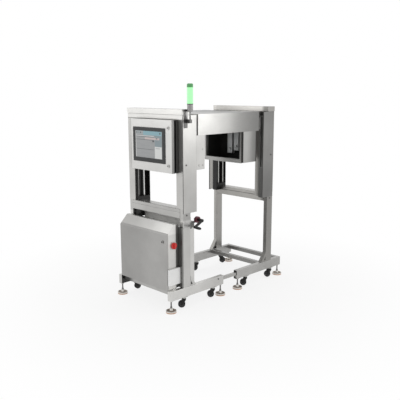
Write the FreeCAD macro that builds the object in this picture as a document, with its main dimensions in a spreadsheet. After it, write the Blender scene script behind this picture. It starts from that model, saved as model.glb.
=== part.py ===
import FreeCAD, Part
import os
import re

import Sketcher

# Vision inspection machine for a conveyor line. The product runs along X between two towers,
# under a head that is cranked up and down. Front (operator side) is -Y, the drive side is +X,
# up is +Z. The origin is on the floor in the middle of the machine's outline. The frame's middle
# plane is 40 mm from it, because the crank stands out on one side only: the sub-parts are drawn
# about the frame's middle and placed together at the end. Millimetres.

SIZES = {
    "base_length": 1500,
    "base_width": 710,
    "outline_shift": 40,
    "rail_width": 40,
    "rail_height": 85,
    "rail_clear": 102,
    "tube_wall": 3,
    "tube_corner": 4,
    "bar_corner": 1.5,
    "beam_corner": 2.5,
    "upright_corner": 3,
    "housing_corner": 2,
    "rail_cap": 2,
    "cross_size": 40,
    "split_front": 101,
    "split_rear": 86,
    "cross_recess": 20,
    "link_width": 28,
    "link_height": 28,
    "link_rise": 38,
    "link_grip": 130,
    "plug_depth": 10,
    "plug_front_inset": 1,
    "plug_rear_inset": 12,
    "tower_inset": 149,
    "leg_depth": 85,
    "gusset_foot": 66,
    "gusset_rise": 92,
    "gusset_plate": 5,
    "gusset_slot": 24,
    "beam_bottom": 790,
    "beam_lower_height": 52,
    "beam_upper_height": 31,
    "tower_top": 1700,
    "head_beam_height": 86,
    "lid_height": 45,
    "lid_lip": 6,
    "lid_rim": 12,
    "lid_corner": 3,
    "column_width": 79,
    "column_fold": 15,
    "column_sheet": 2.5,
    "cover_sheet": 2,
    "cover_bottom": 835,
    "cover_top_gap": 3,
    "cover_depth": 158,
    "cover_flange": 11,
    "cover_gap": 4,
    "apron_width": 46,
    "apron_gap": 10,
    "upright_width": 44,
    "upright_inset": 52,
    "upright_bottom": 845,
    "column_shift": 105,
    "guide_width": 50,
    "guide_wall": 5,
    "guide_inset": 16,
    "guide_slot": 14,
    "slot_below_arm": 72,
    "travel": 290,
    "foot_block_bottom": 838,
    "foot_block_top": 905,
    "cap_plate": 8,
    "rod_radius": 8,
    "rod_inset": 20,
    "screw_pitch": 68,
    "slide_gap": 0.05,
    "part_gap": 0.3,
    "gearbox_height": 70,
    "gearbox_width": 82,
    "gearbox_body": 62,
    "gearbox_flange": 20,
    "gearbox_inset": 21,
    "gearbox_depth": 120,
    "shaft_drop": 35,
    "shaft_radius": 10,
    "shaft_rise": 20,
    "shaft_half": 18,
    "near_box_below": 65,
    "near_box_under": 13,
    "near_box_width": 53,
    "near_box_lug": 23,
    "near_box_upper": 40,
    "post_proud": 11,
    "crank_offset": 22,
    "crank_bracket_step": 38,
    "crank_bracket_root": 10,
    "crank_bracket_depth": 14,
    "crank_bracket_proud": 3,
    "crank_bracket_half": 12,
    "crank_shaft_radius": 8,
    "crank_arm_length": 100,
    "crank_arm_thick": 12,
    "crank_arm_width": 20,
    "crank_hub_radius": 14,
    "crank_out": 40,
    "crank_fall": 44,
    "grip_radius": 12,
    "grip_length": 62,
    "grip_pin_radius": 5,
    "indicator_radius": 28.5,
    "indicator_thick": 24,
    "indicator_rim": 5,
    "carriage_height": 150,
    "carriage_clear": 14,
    "carriage_width": 36,
    "carriage_gap": 7,
    "carriage_depth": 98,
    "arm_thick": 12,
    "arm_depth": 108,
    "bridge_under": 11,
    "bridge_over": 57,
    "bridge_clear_front": 15,
    "bridge_clear_rear": 66,
    "bridge_sheet": 2,
    "pan_sheet": 3,
    "bridge_corner": 5,
    "head_beam_width": 40,
    "hood_gap": 1,
    "hood_front_depth": 96,
    "hood_front_drop": 289,
    "hood_sheet": 3,
    "hood_lip": 18,
    "hood_corner": 2,
    "hood_rear_left": 107,
    "hood_rear_inset": 37,
    "hood_rear_depth": 215,
    "hood_rear_drop": 284,
    "hood_sill": 36,
    "hood_face": 4,
    "hood_neck": 28,
    "hood_neck_inset": 6,
    "camera_left": 48,
    "camera_width": 58,
    "camera_step": 81,
    "camera_drop": 219,
    "camera_depth": 46,
    "lens_radius": 12,
    "lens_length": 12,
    "panel_thick": 10,
    "plate_stand": 5,
    "plate_thick": 3,
    "module_low": 360,
    "module_high": 540,
    "module_width": 56,
    "module_depth": 60,
    "module_tall": 96,
    "hmi_far_gap": 125,
    "hmi_near_gap": 50,
    "hmi_height": 436,
    "hmi_drop": 87,
    "hmi_depth": 69,
    "hmi_door_depth": 24,
    "hmi_gasket_depth": 18,
    "hmi_gasket_inset": 5,
    "hmi_sheet": 2,
    "hmi_corner": 2,
    "panel_far_margin": 34,
    "panel_near_margin": 85,
    "panel_rise": 73,
    "panel_fall": 68,
    "panel_proud": 4,
    "panel_depth": 22,
    "panel_rim": 14,
    "bezel_corner": 5,
    "screen_far_margin": 33,
    "screen_near_margin": 36,
    "screen_rise": 36,
    "screen_fall": 31,
    "screen_recess": 1.5,
    "lock_radius": 13,
    "lock_insert": 8,
    "lock_proud": 6,
    "lock_cam_length": 34,
    "lock_cam_half": 7,
    "lock_cam_thick": 4,
    "lock_side": 49,
    "lock_fall": 64,
    "lock_rise": 59,
    "hinge_radius": 4,
    "hinge_length": 46,
    "hinge_pin": 2,
    "cabinet_side_gap": 40,
    "cabinet_shoulder": 670,
    "cabinet_top": 750,
    "cabinet_stand": 14,
    "crown_depth": 24,
    "cabinet_door_depth": 13,
    "cabinet_sheet": 2,
    "cabinet_neck_depth": 33,
    "cabinet_neck_inset": 6,
    "cabinet_lock_side": 56,
    "cabinet_lock_fall": 64,
    "bracket_reach": 30,
    "bracket_bottom_gap": 6,
    "bracket_top_gap": 30,
    "vent_bottom": 232,
    "vent_top": 372,
    "vent_inset": 5,
    "vent_proud": 17,
    "vent_sheet": 2,
    "vent_corner": 3,
    "switch_z": 571,
    "switch_inset": 30,
    "switch_radius": 29,
    "switch_plate": 3,
    "switch_proud": 20,
    "switch_grip_half": 7,
    "switch_grip_corner": 3,
    "light_stand": 33,
    "light_inset": 53,
    "light_radius": 25,
    "light_neck_height": 60,
    "light_lens_height": 132,
    "light_cap_height": 32,
    "light_neck_drop": 18,
    "light_pole_radius": 6,
    "light_pole_below": 14,
    "light_plate_height": 146,
    "light_plate_drop": 5,
    "light_plate_width": 40,
    "light_plate_thick": 3,
    "light_clamp_height": 30,
    "light_clamp_rise": 55,
    "foot_radius": 45,
    "foot_pad": 20,
    "foot_rim": 4,
    "foot_dish": 2,
    "foot_cone_radius": 16,
    "foot_cone_top": 60,
    "foot_stem_radius": 6,
    "foot_stem_above": 16,
    "foot_nut_height": 9,
    "foot_nut_radius": 11,
    "foot_outer_inset": 21,
    "foot_front_inset": 19,
    "foot_rear_inset": 32,
    "castor_front_step": 116,
    "castor_rear_step": 149,
    "castor_front_inset": 173,
    "castor_rear_inset": 148,
    "castor_plate_half": 30,
    "castor_trail": 22,
    "castor_lift": 5,
    "wheel_radius": 31,
    "wheel_width": 28,
    "wheel_groove": 4,
    "wheel_groove_depth": 6,
    "axle_radius": 4,
    "fork_cheek": 4,
    "fork_gap": 2,
    "fork_plate": 4,
    "fork_race_radius": 18,
    "fork_race": 9,
    "fork_crown": 6,
    "fork_front": 18,
    "fork_back": 16,
    "kingpin_radius": 5,
    "kingpin_flange": 3,
    "kingpin_head": 4,
    "bolt_radius": 6.5,
    "bolt_head": 4,
    "leg_bolt_inset": 42,
    "leg_bolt_rise": 28,
    "cover_bolt_inset": 39,
    "cover_bolt_z": 1243,
    "rail_bolt_inset": 66,
    "rail_bolt_drop": 21,
}

# Places worked out from the sizes.
PLACES = {
    "half_width": "base_width / 2",
    "half_length": "base_length / 2",
    "tower_reach": "half_length - tower_inset",
    "cover_inner": "tower_reach - cover_depth",
    "cross_inner": "cover_inner + cross_size / 2",
    "guide_outer": "tower_reach - guide_inset",
    "guide_inner": "cover_inner + cover_sheet",
    "rod_reach": "guide_outer - rod_inset",
    "screw_reach": "rod_reach - screw_pitch",
    "guide_slot_bottom": "arm_low - travel - slot_below_arm",
    "shaft_height": "beam_bottom - shaft_drop",
    "shaft_top": "shaft_height + shaft_rise",
    "gearbox_low": "beam_bottom - gearbox_height",
    "gearbox_outer": "tower_reach - gearbox_inset",
    "gearbox_inner": "gearbox_outer - gearbox_depth",
    "near_box_bottom": "shaft_height - near_box_below",
    "near_box_top": "shaft_height - near_box_under",
    "near_box_inner": "cover_inner - post_proud",
    "crank_reach": "near_box_inner - crank_offset",
    "carriage_outer": "guide_outer - carriage_gap",
    "carriage_inner": "carriage_outer - carriage_depth",
    "bridge_front": "cover_inner - bridge_clear_front",
    "bridge_rear": "cover_inner - bridge_clear_rear",
    "hood_front_inner": "hood_front_outer - hood_front_depth",
    "hood_rear_back": "bridge_rear - hood_rear_inset",
    "hood_rear_front": "hood_rear_back - hood_rear_depth",
    "hmi_face": "tower_reach + hmi_depth",
    "cabinet_face": "half_length",
    "cabinet_neck": "tower_reach + cabinet_stand",
    "cabinet_back": "cabinet_neck + cabinet_neck_depth",
    "cabinet_crown": "cabinet_back + crown_depth",
    "switch_y": "cabinet_back + switch_inset",
    "vent_front": "cabinet_face - vent_inset",
    "light_y": "tower_reach - light_inset",
    "castor_first": "half_length - castor_front_inset",
    "castor_second": "split_front + castor_front_step",
    "castor_third": "split_rear + castor_rear_step",
    "castor_last": "half_length - castor_rear_inset",
    "rail_top": "rail_clear + rail_height",
    "rail_inner": "half_width - rail_width",
    "rail_middle": "half_width - rail_width / 2",
    "link_low": "rail_clear + link_rise",
    "link_front": "-(split_front + link_grip)",
    "link_rear": "split_rear + link_grip",
    "leg_inner": "tower_reach - leg_depth",
    "beam_seam": "beam_bottom + beam_lower_height",
    "beam_top": "beam_seam + beam_upper_height",
    "head_beam_bottom": "tower_top - head_beam_height",
    "lid_bottom": "tower_top - lid_height",
    "cover_top": "lid_bottom - cover_top_gap",
    "carriage_top": "head_beam_bottom - carriage_clear",
    "arm_low": "carriage_top - arm_depth",
    "bridge_bottom": "arm_low - bridge_under",
    "bridge_top": "carriage_top + bridge_over",
    "hood_bottom": "bridge_bottom - hood_front_drop",
    "hood_rear_bottom": "bridge_bottom - hood_rear_drop",
    "camera_low": "bridge_bottom - camera_drop",
    "hmi_top": "tower_top - hmi_drop",
    "hmi_bottom": "hmi_top - hmi_height",
    "panel_bottom": "hmi_bottom + panel_rise",
    "panel_top": "hmi_top - panel_fall",
    "screen_bottom": "panel_bottom + screen_rise",
    "screen_top": "panel_top - screen_fall",
    "lock_upper": "hmi_top - lock_fall",
    "lock_lower": "hmi_bottom + lock_rise",
    "cabinet_lock_x": "cabinet_half - cabinet_lock_side",
    "cabinet_lock_z": "cabinet_shoulder - cabinet_lock_fall",
    "light_plate_top": "tower_top - light_plate_drop",
    "light_plate_bottom": "light_plate_top - light_plate_height",
    "light_clamp_z": "light_plate_bottom + light_clamp_rise",
    "light_pole_bottom": "light_clamp_z - light_pole_below",
    "light_neck_bottom": "tower_top - light_neck_drop",
    "light_lens_bottom": "light_neck_bottom + light_neck_height",
    "light_lens_top": "light_lens_bottom + light_lens_height",
    "light_top": "light_lens_top + light_cap_height",
    "column_pitch": "base_width - column_shift",
    "light_x": "cover_face + light_stand",
    "cabinet_half": "half_width - cabinet_side_gap",
    "near_box_right": "rail_inner",
    "near_box_left": "near_box_right - near_box_width",
    "near_box_ear": "near_box_right + near_box_lug",
    "crank_bracket_left": "near_box_left + crank_bracket_step",
    "crank_bracket_right": "near_box_right + crank_bracket_proud",
    "crank_hub_end": "half_width + crank_out",
    "hmi_left": "half_width - hmi_far_gap",
    "hmi_right": "half_width - hmi_near_gap",
    "panel_left": "hmi_left - panel_far_margin",
    "panel_right": "hmi_right - panel_near_margin",
    "screen_left": "panel_left - screen_far_margin",
    "screen_right": "panel_right - screen_near_margin",
    "cover_outer": "tower_reach - cover_gap",
    "cover_face": "half_width + cover_sheet",
    "bridge_half": "half_width + 1",
    "hood_front_outer": "cover_inner - hood_gap",
    "near_guide": "half_width - upright_inset",
    "near_rod": "near_guide + guide_width / 2",
    "far_rod": "near_rod - column_pitch",
    "carriage_low": "carriage_top - carriage_height",
    "door_back": "hmi_face - hmi_door_depth",
    "hmi_back": "door_back - hmi_gasket_depth",
    "cabinet_seam": "cabinet_face - cabinet_door_depth",
    "vent_back": "cabinet_neck + 1",
    "shoulder_drop": "(cabinet_top - cabinet_shoulder) * cabinet_door_depth / (cabinet_face - cabinet_crown)",
    "body_shoulder": "cabinet_shoulder + shoulder_drop",
    "crank_z": "shaft_height",
    "crank_bracket_low": "near_box_top - crank_bracket_depth",
    "hub_start": "crank_bracket_right + indicator_thick + part_gap",
    "arm_face": "crank_hub_end - crank_arm_thick",
    "crank_y": "-crank_reach",
    "wheel_z": "wheel_radius + castor_lift",
    "fork_top": "rail_clear - fork_plate",
    "fork_half": "wheel_width / 2 + fork_gap + fork_cheek",
    "hood_opening_low": "hood_rear_bottom + hood_sill",
    "neck_front": "hood_rear_front + hood_face",
    "body_front": "neck_front + hood_neck",
}

doc = FreeCAD.newDocument("VisionInspectionMachine")
NODES = []


def fill_sheet():
    """Write each size into its own row of the sheet and give the cell its name."""
    sheet = doc.addObject("Spreadsheet::Sheet", "Sizes")
    for row, (name, size) in enumerate(SIZES.items(), start=1):
        sheet.set("A%d" % row, name)
        sheet.set("B%d" % row, str(size))
        sheet.setAlias("B%d" % row, name)
    doc.recompute()


def formula(text):
    """The sheet expression for a text over the names of sizes and places."""
    def swap(match):
        word = match.group(0)
        if word in PLACES:
            return "(" + formula(PLACES[word]) + ")"
        if word in SIZES:
            return "Sizes." + word
        return word
    return re.sub(r"[A-Za-z_][A-Za-z_0-9]*", swap, str(text))


def block(name, x, y, z):
    """A box between a low and a high place on each axis."""
    box = doc.addObject("Part::Box", name)
    sides = zip("xyz", ("Length", "Width", "Height"), (x, y, z))
    for axis, side, (low, high) in sides:
        box.setExpression("Placement.Base." + axis, formula(low))
        box.setExpression(side, formula("(%s) - (%s)" % (high, low)))
    return box


TURNS = {
    "x": FreeCAD.Rotation(FreeCAD.Vector(0, 1, 0), 90),
    "y": FreeCAD.Rotation(FreeCAD.Vector(1, 0, 0), -90),
    "z": FreeCAD.Rotation(),
}


def rod(name, axis, centre, radius, low, high):
    """A round bar along one axis; centre gives the two other places in x, y, z order."""
    bar = doc.addObject("Part::Cylinder", name)
    bar.Placement = FreeCAD.Placement(FreeCAD.Vector(), TURNS[axis])
    bar.setExpression("Radius", formula(radius))
    bar.setExpression("Height", formula("(%s) - (%s)" % (high, low)))
    places = list(centre)
    places.insert("xyz".index(axis), low)
    for letter, place in zip("xyz", places):
        bar.setExpression("Placement.Base." + letter, formula(place))
    return bar


def nut(name, centre, radius, low, high):
    """A hexagonal prism standing on Z."""
    prism = doc.addObject("Part::Prism", name)
    prism.Polygon = 6
    prism.setExpression("Circumradius", formula(radius))
    prism.setExpression("Height", formula("(%s) - (%s)" % (high, low)))
    for letter, place in zip("xyz", list(centre) + [low]):
        prism.setExpression("Placement.Base." + letter, formula(place))
    return prism


def cut(name, base, *tools):
    """The base with the tools taken away."""
    result = base
    for number, tool in enumerate(tools):
        step = doc.addObject("Part::Cut", "%s_cut%d" % (name, number))
        step.Base = result
        step.Tool = tool
        result = step
    return result


def fuse(name, *shapes):
    """One welded or moulded solid from touching shapes."""
    joined = doc.addObject("Part::MultiFuse", name)
    joined.Shapes = list(shapes)
    joined.Refine = True
    return joined


def group(name, *shapes):
    """Separate solids that belong to one node."""
    bundle = doc.addObject("Part::Compound", name)
    bundle.Links = list(shapes)
    return bundle


def mirrored(shape, axis):
    """The same shape on the other side of the middle plane across the axis."""
    copy = doc.addObject("Part::Mirroring", shape.Name + "_m" + axis)
    copy.Source = shape
    copy.Normal = FreeCAD.Vector(axis == "x", axis == "y", 0)
    return copy


def both(*shapes):
    """Each shape and its mirror image across the middle plane X = 0."""
    return [piece for shape in shapes for piece in (shape, mirrored(shape, "x"))]


def shifted(shape, x=0, y=0, z=0, name=None):
    """The same shape moved along the axes."""
    copy = doc.addObject("Part::Compound", name or shape.Name + "_at")
    copy.Links = [shape]
    for letter, place in zip("xyz", (x, y, z)):
        copy.setExpression("Placement.Base." + letter, formula(place))
    return copy


PLANES = {"XY": 1, "XZ": -1, "YZ": 1}


def draw(sketch, outline):
    """A closed outline through corners, or a circle given as (centre u, centre v, radius)."""
    first = sketch.GeometryCount
    if isinstance(outline[0], str):
        sketch.addGeometry(Part.Circle(FreeCAD.Vector(), FreeCAD.Vector(0, 0, 1), 1), False)
        pin(sketch, first, 3, outline[0], outline[1])
        index = sketch.addConstraint(Sketcher.Constraint("Radius", first, 1.0))
        sketch.setExpression("Constraints[%d]" % index, formula(outline[2]))
        return
    count = len(outline)
    ring = Part.makePolygon([FreeCAD.Vector(i % 2 * 3 + i, i * i, 0) for i in range(count + 1)])
    for edge in ring.Edges:
        sketch.addGeometry(Part.LineSegment(edge.firstVertex().Point, edge.lastVertex().Point), False)
    for i in range(count):
        after = first + (i + 1) % count
        sketch.addConstraint(Sketcher.Constraint("Coincident", first + i, 2, after, 1))
    for i, (u, v) in enumerate(outline):
        pin(sketch, first + i, 1, u, v)


def pin(sketch, curve, point, u, v):
    """Hold a sketch point at its distances from the origin."""
    for kind, place in (("DistanceX", u), ("DistanceY", v)):
        index = sketch.addConstraint(Sketcher.Constraint(kind, -1, 1, curve, point, 1.0))
        sketch.setExpression("Constraints[%d]" % index, formula(place))


def new_sketch(body, plane, offset="0"):
    """A sketch on a plane of the body's own origin, moved along the plane's normal."""
    role = plane + "_Plane"
    support = [item for item in body.Origin.OriginFeatures if item.Role == role][0]
    sketch = body.newObject("Sketcher::SketchObject", body.Name + "_sketch")
    sketch.AttachmentSupport = [(support, "")]
    sketch.MapMode = "FlatFace"
    sketch.setExpression("AttachmentOffset.Base.z", formula(offset))
    return sketch


def profile(name, plane, low, high, *outlines):
    """A body padded across a plane between two places; later outlines are openings."""
    body = doc.addObject("PartDesign::Body", name)
    offset = low if PLANES[plane] > 0 else "-(%s)" % high
    sketch = new_sketch(body, plane, offset)
    for outline in outlines:
        draw(sketch, outline)
    pad = body.newObject("PartDesign::Pad", name + "_pad")
    pad.Profile = sketch
    pad.setExpression("Length", formula("(%s) - (%s)" % (high, low)))
    body.Tip = pad
    return body


def turned(name, outline, x="0", y="0", z="0", axis="z"):
    """A body turned about its own axis from a half section of (radius, height) corners."""
    body = doc.addObject("PartDesign::Body", name)
    sketch = new_sketch(body, "XZ")
    draw(sketch, outline)
    spin = body.newObject("PartDesign::Revolution", name + "_turn")
    spin.Profile = sketch
    spin.ReferenceAxis = (sketch, ["V_Axis"])
    spin.Angle = 360
    body.Tip = spin
    body.Placement = FreeCAD.Placement(FreeCAD.Vector(), TURNS[axis])
    for letter, place in zip("xyz", (x, y, z)):
        body.setExpression("Placement.Base." + letter, formula(place))
    return body


def rounded(body, axis, radius, wanted=None):
    """Fillet the body's straight edges along an axis, all or those that a test picks."""
    doc.recompute()
    solid = body.Tip
    line = FreeCAD.Vector(axis == "x", axis == "y", axis == "z")
    picked = []
    for number, edge in enumerate(solid.Shape.Edges, start=1):
        if not isinstance(edge.Curve, Part.Line):
            continue
        along = abs(edge.Curve.Direction.dot(line)) > 0.999
        if along and (wanted is None or wanted(edge.CenterOfMass, solid.Shape.BoundBox)):
            picked.append("Edge%d" % number)
    fillet = body.newObject("PartDesign::Fillet", body.Name + "_fillet")
    fillet.Base = (solid, picked)
    fillet.setExpression("Radius", formula(radius))
    body.Tip = fillet
    return body


def outside(centre, box):
    """Whether an edge lies on two outer faces of the box round its body."""
    near = 0
    for letter in "XYZ":
        place = getattr(centre, letter.lower())
        low = getattr(box, letter + "Min")
        high = getattr(box, letter + "Max")
        if min(abs(place - low), abs(place - high)) < 0.01:
            near += 1
    return near >= 2


def rectangle(u, v):
    """Four corners between two places each way."""
    return [(u[0], v[0]), (u[1], v[0]), (u[1], v[1]), (u[0], v[1])]


def inset(span, wall):
    """A span made smaller by a wall at both ends."""
    return ("(%s) + %s" % (span[0], wall), "(%s) - %s" % (span[1], wall))


AXES = {"XY": "z", "XZ": "y", "YZ": "x"}


def tube(name, plane, low, high, u, v, wall="tube_wall", corner="tube_corner"):
    """A rectangular hollow section across a plane, with rounded outer corners."""
    outer = rectangle(u, v)
    bore = rectangle(inset(u, wall), inset(v, wall))
    body = profile(name, plane, low, high, outer, bore)
    return rounded(body, AXES[plane], corner, outside)


def node(label, *shapes):
    """Name a finished sub-part, each shape a solid of its own, and place it in the machine."""
    part = group(label + "_placed", *shapes)
    for shape in shapes:
        shape.Label = shape.Name + "_form"
    part.Label = label
    part.setExpression("Placement.Base.x", formula("-(outline_shift)"))
    NODES.append(part)
    return part


def bolt(name, axis, centre, low, high):
    """A plain round bolt head seated on a face."""
    return rod(name, axis, centre, "bolt_radius", low, high)


def castor_seat(name, x, y):
    """The top plate, race and headed kingpin that carry one castor fork."""
    half = "rail_width / 2 - 1"
    plate = block(name + "_plate", ("%s - (%s)" % (x, half), "%s + %s" % (x, half)),
                  (y + " - castor_plate_half", y + " + castor_plate_half"), ("fork_top", "rail_clear"))
    race_low = "fork_top - fork_race"
    race = rod(name + "_race", "z", (x, y), "fork_race_radius", race_low, "fork_top")
    crown_low = race_low + " - part_gap - fork_crown"
    stem = rod(name + "_stem", "z", (x, y), "kingpin_radius",
               crown_low + " - part_gap", race_low)
    head = rod(name + "_head", "z", (x, y), "kingpin_radius + kingpin_flange",
               crown_low + " - part_gap - kingpin_head", crown_low + " - part_gap")
    return fuse(name, plate, race, stem, head)


def foot_nut(name, x, y):
    """The lock nut under a rail, threaded for a levelling foot."""
    hexagon = nut(name + "_hex", (x, y), "foot_nut_radius", "rail_clear - foot_nut_height",
                  "rail_clear")
    bore = rod(name + "_bore", "z", (x, y), "foot_stem_radius + slide_gap",
               "rail_clear - foot_nut_height - 1", "rail_clear + 1")
    return cut(name, hexagon, bore)


def base_half(label, low, high, outer, inner, cap_y, feet, castors):
    """Two rails with end caps, two cross tubes, castor seats and foot nuts of one half of the base."""
    rail = tube(label + "_rail", "XZ", low, high, ("rail_inner", "half_width"),
                ("rail_clear", "rail_top"))
    holes = [rod("%s_foot_hole%d" % (label, i), "z", ("rail_middle", y),
                 "foot_stem_radius + slide_gap", "rail_clear - 1", "rail_clear + tube_wall + 1")
             for i, y in enumerate(feet)]
    drilled = cut(label + "_drilled", rail, *holes)
    cross_z = ("rail_top - cross_size", "rail_top")
    crosses = [tube("%s_cross%d" % (label, i), "YZ", "-(rail_inner)", "rail_inner", span, cross_z)
               for i, span in enumerate((outer, inner))]
    seats = [castor_seat("%s_seat%d" % (label, i), "rail_middle", y)
             for i, y in enumerate(castors)]
    nuts = [foot_nut("%s_nut%d" % (label, i), "rail_middle", y) for i, y in enumerate(feet)]
    cap = block(label + "_cap", PLUG_X, cap_y, PLUG_Z)
    return both(drilled, cap, *seats, *nuts) + crosses


FRONT_FEET = ["-(half_length - foot_outer_inset)", "-(split_front + foot_front_inset)"]
REAR_FEET = ["half_length - foot_outer_inset", "split_rear + foot_rear_inset"]
FRONT_CASTORS = ["-castor_first", "-castor_second"]
REAR_CASTORS = ["castor_third", "castor_last"]
INNER_CROSS = ("cross_inner - cross_size / 2", "cross_inner + cross_size / 2")
PLUG_X = ("rail_inner + tube_wall", "half_width - tube_wall")
PLUG_Z = ("rail_clear + tube_wall", "rail_top - tube_wall")


def base():
    """The front and rear halves of the base and the two bars that slide between them."""
    front = base_half("base_front", "-(half_length)", "-split_front",
                      ("-(half_length) + cross_recess", "-(half_length) + cross_recess + cross_size"),
                      tuple("-(%s)" % place for place in reversed(INNER_CROSS)),
                      ("-(half_length)", "-(half_length) + rail_cap"), FRONT_FEET, FRONT_CASTORS)
    post = tube("crank_post", "XY", "rail_top", "near_box_bottom",
                ("rail_inner - cross_size", "rail_inner"), ("-(%s)" % INNER_CROSS[1], "-near_box_inner"))
    node("base_front", *front, post)
    rear = base_half("base_rear", "split_rear", "half_length",
                     ("half_length - cross_size", "half_length"), INNER_CROSS,
                     ("half_length - rail_cap", "half_length"), REAR_FEET, REAR_CASTORS)
    node("base_rear", *rear)
    link_x = ("rail_middle - link_width / 2", "rail_middle + link_width / 2")
    link_z = ("link_low", "link_low + link_height")
    bar = tube("link_bar", "XZ", "link_front", "link_rear", link_x, link_z, corner="bar_corner")
    ends = {"front": ("-(split_front + plug_front_inset + plug_depth)",
                      "-(split_front + plug_front_inset)"),
            "rear": ("split_rear + plug_rear_inset",
                     "split_rear + plug_rear_inset + plug_depth")}
    plugs = [profile("plug_" + name, "XZ", span[0], span[1], rectangle(PLUG_X, PLUG_Z),
                     rectangle(link_x, link_z)) for name, span in ends.items()]
    node("link_bars", *both(bar, *plugs))


def gusset():
    """The triangular web and folded strip that brace a leg on its rail."""
    toe = "-(leg_inner) + gusset_foot"
    root = "-(leg_inner)"
    peak = "rail_top + gusset_rise"
    slope = "gusset_plate * sqrt(gusset_foot * gusset_foot + gusset_rise * gusset_rise)"
    strip_y = slope + " / gusset_rise"
    strip = profile("gusset_strip", "YZ", "rail_inner", "half_width",
                    [(toe, "rail_top"), (root, peak),
                     (root, "%s - %s / gusset_foot" % (peak, slope)),
                     ("%s - %s" % (toe, strip_y), "rail_top")])
    inner_toe = "%s - %s" % (toe, strip_y)
    inner_peak = "%s - %s / gusset_foot" % (peak, slope)
    web = profile("gusset_web", "YZ", "half_width - gusset_plate", "half_width",
                  [(inner_toe, "rail_top"), (root, inner_peak), (root, "rail_top")])
    slot = profile("gusset_hole", "YZ", "half_width - gusset_plate - 1", "half_width + 1",
                   [(root + " + 4", "rail_top + 12"), (root + " + gusset_slot", "rail_top + 12"),
                    (root + " + 4", "rail_top + 12 + gusset_slot * 1.6")])
    return fuse("gusset", strip, cut("gusset_open", web, slot))


def tower():
    """One tower's welded frame on the front side: legs, beams, lid, columns and uprights."""
    depth = ("-tower_reach", "-(leg_inner)")
    leg = tube("leg", "XY", "rail_top", "beam_top", ("rail_inner", "half_width"), depth)
    lower = tube("beam_lower", "YZ", "-(rail_inner)", "rail_inner", depth,
                 ("beam_bottom", "beam_seam"))
    upper = tube("beam_upper", "YZ", "-(rail_inner)", "rail_inner", depth,
                 ("beam_seam", "beam_top"), corner="beam_corner")
    head = tube("head_beam", "YZ", "-(half_width)", "half_width", depth,
                ("head_beam_bottom", "lid_bottom"), corner="beam_corner")
    lid_x = ("-(half_width + lid_lip)", "cover_face")
    lid_y = ("-(tower_reach + lid_lip)", "-(leg_inner) + lid_lip")
    lid = rounded(profile("lid", "XY", "lid_bottom", "tower_top", rectangle(lid_x, lid_y)),
                  "z", "lid_corner", outside)
    hollow = block("lid_hollow", inset(lid_x, "lid_rim"), inset(lid_y, "lid_rim"),
                   ("lid_bottom - 1", "tower_top - cover_sheet"))
    lid_shell = cut("lid_shell", lid, hollow)
    column = folded_column()
    near_up = ("half_width - upright_inset - upright_width", "half_width - upright_inset")
    upright = tube("upright", "XY", "upright_bottom", "cover_top", near_up,
                   ("-(leg_inner)", "-cover_inner"), corner="upright_corner")
    far = shifted(upright, "-column_pitch", name="upright_far")
    return [*both(leg, gusset(), column), lower, upper, head, lid_shell, upright, far]


def folded_column():
    """A sheet corner column: a wide front face with a fold along its inner edge."""
    face = "-tower_reach"
    back = face + " + column_sheet"
    edge = "half_width - column_width"
    corners = [(edge, face), ("half_width", face), ("half_width", back),
               (edge + " + column_sheet", back), (edge + " + column_sheet", face + " + column_fold"),
               (edge, face + " + column_fold")]
    return profile("column", "XY", "beam_top", "head_beam_bottom", corners)


def side_covers():
    """The folded sheets over a tower's sides; the near one also hides the guide's lower end."""
    outer = "-(cover_outer)"
    inner = "-cover_inner"
    corners = [("cover_face", outer), ("cover_face", inner), ("cover_face - cover_flange", inner),
               ("cover_face - cover_flange", inner + " - cover_sheet"),
               ("half_width", inner + " - cover_sheet"), ("half_width", outer)]
    far = profile("cover", "XY", "cover_bottom", "cover_top", corners)
    apron = block("cover_apron", ("half_width - apron_width", "cover_face - cover_flange"),
                  (inner + " - cover_sheet", inner),
                  ("cover_bottom", "guide_slot_bottom - apron_gap"))
    near = fuse("cover_near", shifted(far, name="cover_copy"), apron)
    return [near, mirrored(far, "x")]


def guide():
    """One black guide channel, open towards +X, with its foot block and cap plate."""
    left = "near_guide"
    right = "near_guide + guide_width"
    outer = "-guide_outer"
    inner = "-guide_inner"
    wall = "guide_wall"
    corners = [(left, outer), (right, outer), (right, outer + " + " + wall),
               (left + " + " + wall, outer + " + " + wall),
               (left + " + " + wall, inner + " - " + wall), (right, inner + " - " + wall),
               (right, inner), (left, inner)]
    channel = profile("guide_channel", "XY", "beam_top", "head_beam_bottom", corners)
    slot_x = ("near_rod - guide_slot / 2", "near_rod + guide_slot / 2")
    slot = block("guide_slot_cut", slot_x, (inner + " - guide_wall - 1", inner + " + 1"),
                 ("guide_slot_bottom", "head_beam_bottom - cap_plate"))
    inside_x = (left + " + " + wall, right)
    inside_y = (outer + " + " + wall, inner + " - " + wall)
    foot_in = block("guide_foot_in", inside_x, inside_y, ("beam_top", "foot_block_top"))
    foot_out = block("guide_foot_out", (left, right), ("-(leg_inner)", inner),
                     ("foot_block_bottom", "beam_top"))
    cap = block("guide_cap", inside_x, inside_y,
                ("head_beam_bottom - cap_plate", "head_beam_bottom"))
    body = fuse("guide_body", cut("guide_slotted", channel, slot), foot_in, foot_out, cap)
    rod_bore = rod("guide_rod_bore", "z", ("near_rod", "-rod_reach"), "rod_radius + slide_gap",
                   "beam_top - 1", "head_beam_bottom + 1")
    screw_bore = rod("guide_screw_bore", "z", ("near_rod", "-screw_reach"),
                     "rod_radius + slide_gap", "foot_block_bottom - 1", "head_beam_bottom + 1")
    return cut("guide", body, rod_bore, screw_bore)


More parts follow.
